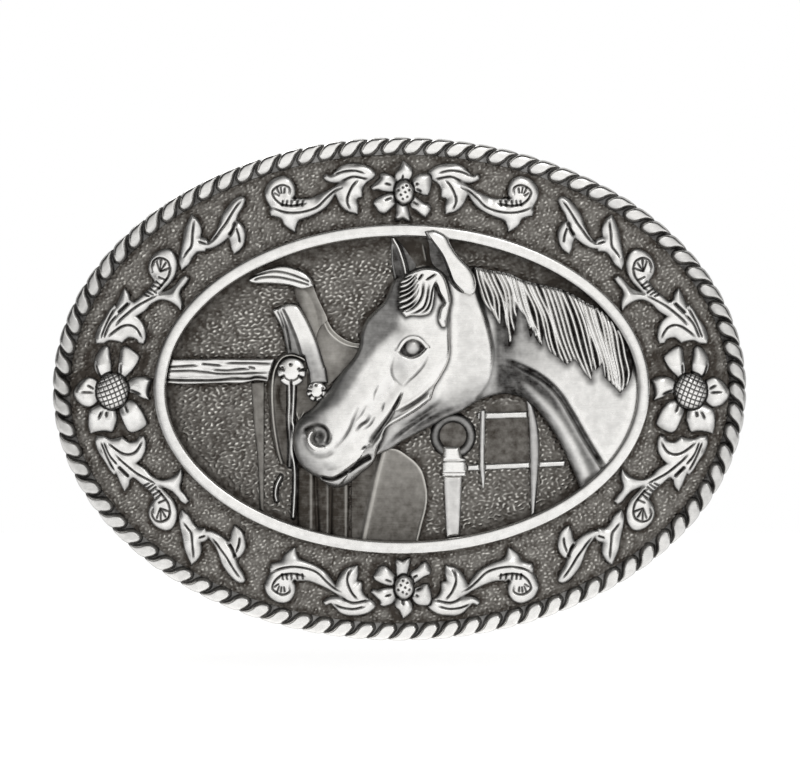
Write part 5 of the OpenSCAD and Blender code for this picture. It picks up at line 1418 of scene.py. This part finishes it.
def build_concho(name, node, place, notches, dots):
    """A scalloped rosette: a boss with lobes, split by dark notches, and a few dark dots.

    The place is x, z and radius; a notch is an angle, a dot an angle and a share of the radius.
    """
    x, z, r = place
    field = Field((x - r - 0.3, z - r - 0.3), (x + r + 0.3, z + r + 0.3), 0.07)
    u, v = (field.x - x) / r, (field.z - z) / r
    d, angle = np.hypot(u, v), np.degrees(np.arctan2(v, u))
    ink_and_shade = np.zeros(field.x.shape)
    scallop = np.zeros(field.x.shape)
    for a in notches:
        off = (angle - a + 180) % 360 - 180
        wedge = np.exp(-(np.radians(off) * d / 0.095) ** 2) * (np.abs(off) < 90)
        ink_and_shade = np.maximum(ink_and_shade, wedge * step(d, 0.50, 0.66))
        scallop = np.maximum(scallop, wedge)
    for a, away in dots:
        c = math.radians(a)
        ink_and_shade = np.maximum(ink_and_shade, field.blob((x + away * r * math.cos(c), z + away * r * math.sin(c)), 0.10 * r))
    # painted shade: a dark line, also cut in, round the lower half of the boss
    lower = step(-v, -0.05, 0.45)
    ink_and_shade = np.maximum(ink_and_shade, 0.80 * lower * np.exp(-((d - 0.64) / 0.05) ** 2))
    s = (1.08 - 0.18 * scallop - d) * r
    dome = np.sqrt(np.clip(1 - (d / 1.14) ** 2, 0, 1))
    h = LEATHER_TOP + 0.2 + 0.80 * dome - 0.45 * ink_and_shade
    wear_and_painted_light = np.clip((1 - ink_and_shade) * step(s, 0.0, 0.3), 0, 1)
    add_relief(name, node, field, s, h, wear_and_painted_light, low=LEATHER_TOP - 0.5)


# ---- Picture: the fence, the gate and the halter ----

def build_rail():
    """Split timber: a bowed board with long cracks."""
    field = picture_field([RAIL], 0.10)
    s = field.less(np.minimum(field.shape(RAIL) + 0.08, within_rim(field)), FENDER)
    rough = field.grain(3.0, 0.45, seed=21)
    cracks = [[[-33.0, 3.05], [-31.9, 3.1], [-28.2, 3.3]], [[-27.6, 3.5], [-24.9, 3.3]],
              [[-24.3, 3.6], [-20.5, 3.62], [-17.6, 3.5]],
              [[-33.4, 2.55], [-31.9, 2.5], [-28.2, 2.5], [-25.3, 2.15], [-22.2, 2.15], [-18.0, 2.3]],
              [[-26.1, 2.7], [-23.9, 2.6], [-22.2, 2.8], [-21.0, 2.8]], [[-21.0, 3.1], [-20.1, 2.9]]]
    deep = [[-33.6, 1.35], [-30.7, 1.22], [-26.3, 1.2], [-23.4, 1.42], [-21.0, 1.42], [-19.9, 1.62],
            [-18.3, 1.45]]
    fine, wide = field.lines(cracks, 0.12, taper=0.15), field.line(deep, 0.16, taper=0.02)
    lower = step(2.1 - field.z, 0.0, 0.4) * step(field.z, 1.45, 1.7)
    h = PLATE_TOP + 1.00 + 0.40 * round_edge(s, 0.45) + 0.04 * rough
    h = h - 0.36 * fine - 0.50 * wide - 0.10 * lower
    wear_and_painted_light = field.wear_and_painted_light(h, s < 0, base=1.0, gain=0.6, size=0.35) * (1 - fine) * (1 - wide) * (1 - 0.20 * lower)
    wear_and_painted_light = wear_and_painted_light * step(s, -0.15, 0.2) * (1 - 0.12 * np.maximum(rough, 0))
    add_relief("timber_rail", "fence_rail", field, s, h, wear_and_painted_light)


def build_post():
    """The dark post under the rail."""
    field = picture_field([POST], 0.12)
    s = field.less(np.minimum(field.shape(POST), within_rim(field)), RAIL)
    h = PLATE_TOP + 0.30 + 0.22 * round_edge(s, 0.4)
    wear_and_painted_light = 0.10 + 0.12 * round_edge(s, 0.4)
    add_relief("timber_post", "fence_post", field, s, h, wear_and_painted_light, ground)


def build_ring():
    """The halter's ring."""
    field = Field((RING[0] - 3.3, RING[1] - 3.3), (RING[0] + 3.3, RING[1] + 3.3), 0.09)
    d = np.hypot(field.x - RING[0], field.z - RING[1])
    s = np.minimum(RING_R + 0.20 - d, d - RING_BORE + 0.15)
    s = field.less(np.minimum(s, -field.inside(KEEPER)), NECK)
    middle = (RING_R + RING_BORE) / 2
    round_top = np.sqrt(np.clip(1 - ((d - middle) / 0.62) ** 2, 0, 1))
    h = PLATE_TOP + 0.25 + 0.75 * round_top
    # painted light: the ring is lighter on its right
    wear_and_painted_light = 0.05 + 0.30 * round_top**2 * (0.7 + 0.3 * step(field.x, RING[0] - 2, RING[0] + 2))
    add_relief("ring_round", "halter_ring", field, s, h, wear_and_painted_light)


def build_plain(name, node, outlines, high, edge, shade, cut=(), lines=()):
    """A simple raised piece with rounded edges."""
    solids = []
    for outline in outlines:
        straight = all(len(p) == 2 for p in outline)
        line = np.array(outline, float) if straight else smooth(outline)
        field = Field.around([line], 0.11)
        s = field.less(np.minimum(field.inside(line), within_rim(field)), *cut)
        h = high - edge + edge * round_edge(s, edge * 1.4) - 0.28 * field.lines(lines, 0.14, taper=0.02)
        wear_and_painted_light = field.wear_and_painted_light(h, s < 0, base=shade, gain=1.6, size=0.3)
        solids.append(carve(field, s, h, np.clip(wear_and_painted_light * shade / 0.9, 0, 1), PLATE_TOP))
    add_piece(name, joined(solids), silver, node)


def build_halter_and_gate():
    """The halter's ring, keeper and strap, and the gate behind."""
    build_ring()
    build_plain("keeper_loop", "strap_keeper", [KEEPER], PLATE_TOP + 1.8, 0.55, 0.93,
                lines=[[[5.8, -9.95], [9.4, -9.95]], [[6.0, -11.75], [9.3, -11.75]]])
    build_plain("strap_end", "halter_strap", [STRAP], PLATE_TOP + 1.2, 0.45, 0.8)
    build_plain("gate_stile_left", "gate_post_left", [GATE_LEFT], PLATE_TOP + 1.2, 0.35, 0.74)
    build_plain("gate_stile_right", "gate_post_right", [GATE_RIGHT], PLATE_TOP + 1.2, 0.45, 0.68, cut=[NECK])
    build_plain("gate_bars", "gate_rails", GATE_RAILS, PLATE_TOP + 0.8, 0.30, 0.8,
                cut=[NECK, GATE_LEFT, GATE_RIGHT])


# ---- Picture: the ground ----

def build_scene_floor():
    """The stippled skin of the plate inside the rim, smooth between the ears and behind the gate."""
    rx, rz = RIM[0] - RIM_W, RIM[1] - RIM_W
    field = Field((RIM_CENTRE[0] - rx, -rz), (RIM_CENTRE[0] + rx, rz), 0.125)
    s = within_rim(field) + 0.1
    covered = np.full(field.x.shape, -FAR)
    for outline in (HEAD, NECK, SKIRT, FENDER, FLAP, FORK, SEAT, CANTLE, RAIL):
        covered = np.maximum(covered, field.shape(outline))
    covered = np.maximum(covered, field.inside(LEATHER_SHEET))
    s = np.minimum(s, 0.5 - covered)
    worms = field.grain(0.80, 0.56, seed=31, spread=0.36)
    patches = field.grain(5.0, 4.0, seed=32)
    between_ears = step(field.z, 15.2, 16.6) * step(field.x, -1.2, -0.6) * step(9.0 - field.x, 0, 2)
    panel = step(field.x, 11.9, 12.3) * step(18.3 - field.x, 0, 0.5)
    panel = panel * step(-1.5 - field.z, 0, 1) * step(field.z, -10.6, -10.2)
    ring = step(RING_BORE + 0.3 - np.hypot(field.x - RING[0], field.z - RING[1]), 0, 0.3)
    edge = within_rim(field)
    # near the rim, more broadly along the top, the stipple is calmer and painted shadow darkens it; the
    # bright tops of the stipple are brighter in the upper half, as painted light
    upper = step(field.z, -6, 8)
    under_rim = step(edge, 0.4, 1.4 + 2.6 * upper)
    calm = np.maximum(np.maximum(between_ears, panel), ring)
    rough = (1 - calm) * (0.15 + 0.85 * under_rim)
    hair = field.lines([[[3.2, 20.2], [3.7, 17.7]], [[4.3, 20.7], [4.8, 17.2]],
                        [[1.35, 18.5], [2.1, 16.95], [2.9, 17.0], [3.85, 17.2]]], 0.13, taper=0.2)
    h = PLATE_TOP + 0.09 + rough * 0.105 * np.maximum(worms, -0.65) + 0.12 * hair
    glint = np.maximum(worms - 0.12, 0) ** 1.25 * (0.45 + 0.55 * step(patches, -0.8, 0.4))
    wear_and_painted_light = 0.11 + (0.85 + 0.35 * upper) * rough * glint - 0.01 * panel
    # painted shadow round the picture's pieces and under the rim
    wear_and_painted_light = wear_and_painted_light * (0.10 + 0.90 * step(-covered, 0.05, 1.1)) * (0.45 + 0.55 * under_rim)
    wear_and_painted_light = wear_and_painted_light * (1 - 0.45 * between_ears)
    wear_and_painted_light = wear_and_painted_light + 0.35 * hair * between_ears
    skin = carve(field, s, h, np.clip(wear_and_painted_light, 0, 1), PLATE_TOP - 0.03)
    add_piece("scene_ground", skin, ground, slot="oxidised_ground")


# ---- Camera, light and floor ----

def build_stage():
    """A pale floor, a white surround that metal sees as soft studio panels, and the camera."""
    scene = bpy.context.scene
    scene.view_settings.view_transform = "Standard"
    world = bpy.data.worlds.new("studio")
    scene.world = world
    world.use_nodes = True
    tree = world.node_tree
    tree.nodes.clear()

    def node(kind, **inputs):
        """A node of the world's shader."""
        made = tree.nodes.new("ShaderNode" + kind)
        for key, value in inputs.items():
            if isinstance(value, bpy.types.NodeSocket):
                tree.links.new(value, made.inputs[key])
            else:
                made.inputs[key].default_value = value
        return made

    def operate(operation, a, b=0.0, c=0.0):
        """One step of arithmetic in it."""
        made = tree.nodes.new("ShaderNodeMath")
        made.operation = operation
        for socket, value in zip(made.inputs, (a, b, c)):
            if isinstance(value, bpy.types.NodeSocket):
                tree.links.new(value, socket)
            else:
                socket.default_value = value
        return made.outputs[0]

    direction = node("TexCoord").outputs["Generated"]
    parts = node("SeparateXYZ", Vector=direction).outputs
    facing = operate("ABSOLUTE", parts[1])
    lift = operate("MULTIPLY_ADD", parts[2], 0.10, 0.0)
    lean = operate("MULTIPLY_ADD", parts[0], 0.14, lift)
    panel = node("MapRange", **{"Value": operate("ADD", facing, lean), "From Min": 0.42, "From Max": 0.98,
                                "To Min": 0.03, "To Max": 1.05}).outputs[0]
    seen = node("Background", Color=(1, 1, 1, 1), Strength=1.0)
    lit = node("Background", Color=(1, 0.995, 0.985, 1), Strength=panel)
    rays = node("LightPath").outputs["Is Camera Ray"]
    mixed = node("MixShader")
    tree.links.new(rays, mixed.inputs[0])
    tree.links.new(lit.outputs[0], mixed.inputs[1])
    tree.links.new(seen.outputs[0], mixed.inputs[2])
    out = tree.nodes.new("ShaderNodeOutputWorld")
    tree.links.new(mixed.outputs[0], out.inputs[0])

    def panel_light(name, place, size, power):
        """A rectangular lamp that points at the buckle's middle."""
        light = bpy.data.lights.new(name, "AREA")
        light.shape = "RECTANGLE"
        light.size, light.size_y = size
        light.energy = power
        lamp = bpy.data.objects.new(name, light)
        lamp.location = place
        lamp.rotation_euler = (-Vector(place)).to_track_quat("-Z", "Y").to_euler()
        scene.collection.objects.link(lamp)

    panel_light("key", (0.16, -0.42, 0.34), (0.16, 0.16), 0.20)
    panel_light("fill", (-0.40, -0.30, 0.10), (0.20, 0.30), 0.03)
    panel_light("back", (-0.15, 0.45, 0.30), (0.20, 0.20), 0.4)

    gap, reach = 0.0005, 0.45                 # metres under the buckle, and to the floor's sides
    floor_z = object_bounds()[0][2] - gap
    mesh = bpy.data.meshes.new("floor")
    mesh.from_pydata([(-reach, -reach, floor_z), (reach, -reach, floor_z), (reach, reach, floor_z),
                      (-reach, reach, floor_z)], [], [(0, 1, 2, 3)])
    floor = bpy.data.objects.new("floor", mesh)
    scene.collection.objects.link(floor)
    pale = Shader("pale floor")
    pale.surface.inputs["Base Color"].default_value = (0.9, 0.9, 0.9, 1)
    pale.surface.inputs["Roughness"].default_value = 0.9
    pale.surface.inputs["Emission Color"].default_value = (1, 1, 1, 1)
    pale.surface.inputs["Emission Strength"].default_value = 0.75
    mesh.materials.append(pale.material)

    lens = bpy.data.cameras.new("camera")
    lens.lens = 200
    lens.sensor_width = 36
    lens.clip_start = 0.05
    camera = bpy.data.objects.new("camera", lens)
    seen_width = 800 / 7.2                    # millimetres of the face across the image
    aim = (0.07, 0.69)                        # the place that the middle of the image shows
    distance = seen_width * lens.lens / lens.sensor_width
    camera.location = (aim[0] * MM, -(distance + BORDER_TOP) * MM, aim[1] * MM)
    camera.rotation_euler = (math.pi / 2, 0, 0)
    scene.collection.objects.link(camera)
    scene.camera = camera


# ---- Everything in place ----

build_border()
build_rope()
build_rim()
build_ornaments()
build_scene_floor()
build_head()
build_forelock()
build_ears()
build_neck()
build_mane()
build_cantle()
build_seat()
build_fork()
build_skirt()
build_fender()
build_flap()
build_leathers()
build_strings()
build_concho("concho_rosette_large", "concho_large", place=(-15.0, 2.35, 1.85),
             notches=(163, 207, 268, 332, 12), dots=((98, 0.58), (22, 0.62), (155, 0.78)))
build_concho("concho_rosette_small", "concho_small", place=(-11.5, -0.35, 1.35),
             notches=(175, 215, 262, 318, 8), dots=((98, 0.66), (140, 0.80), (25, 0.75)))
build_rail()
build_post()
build_halter_and_gate()
build_stage()
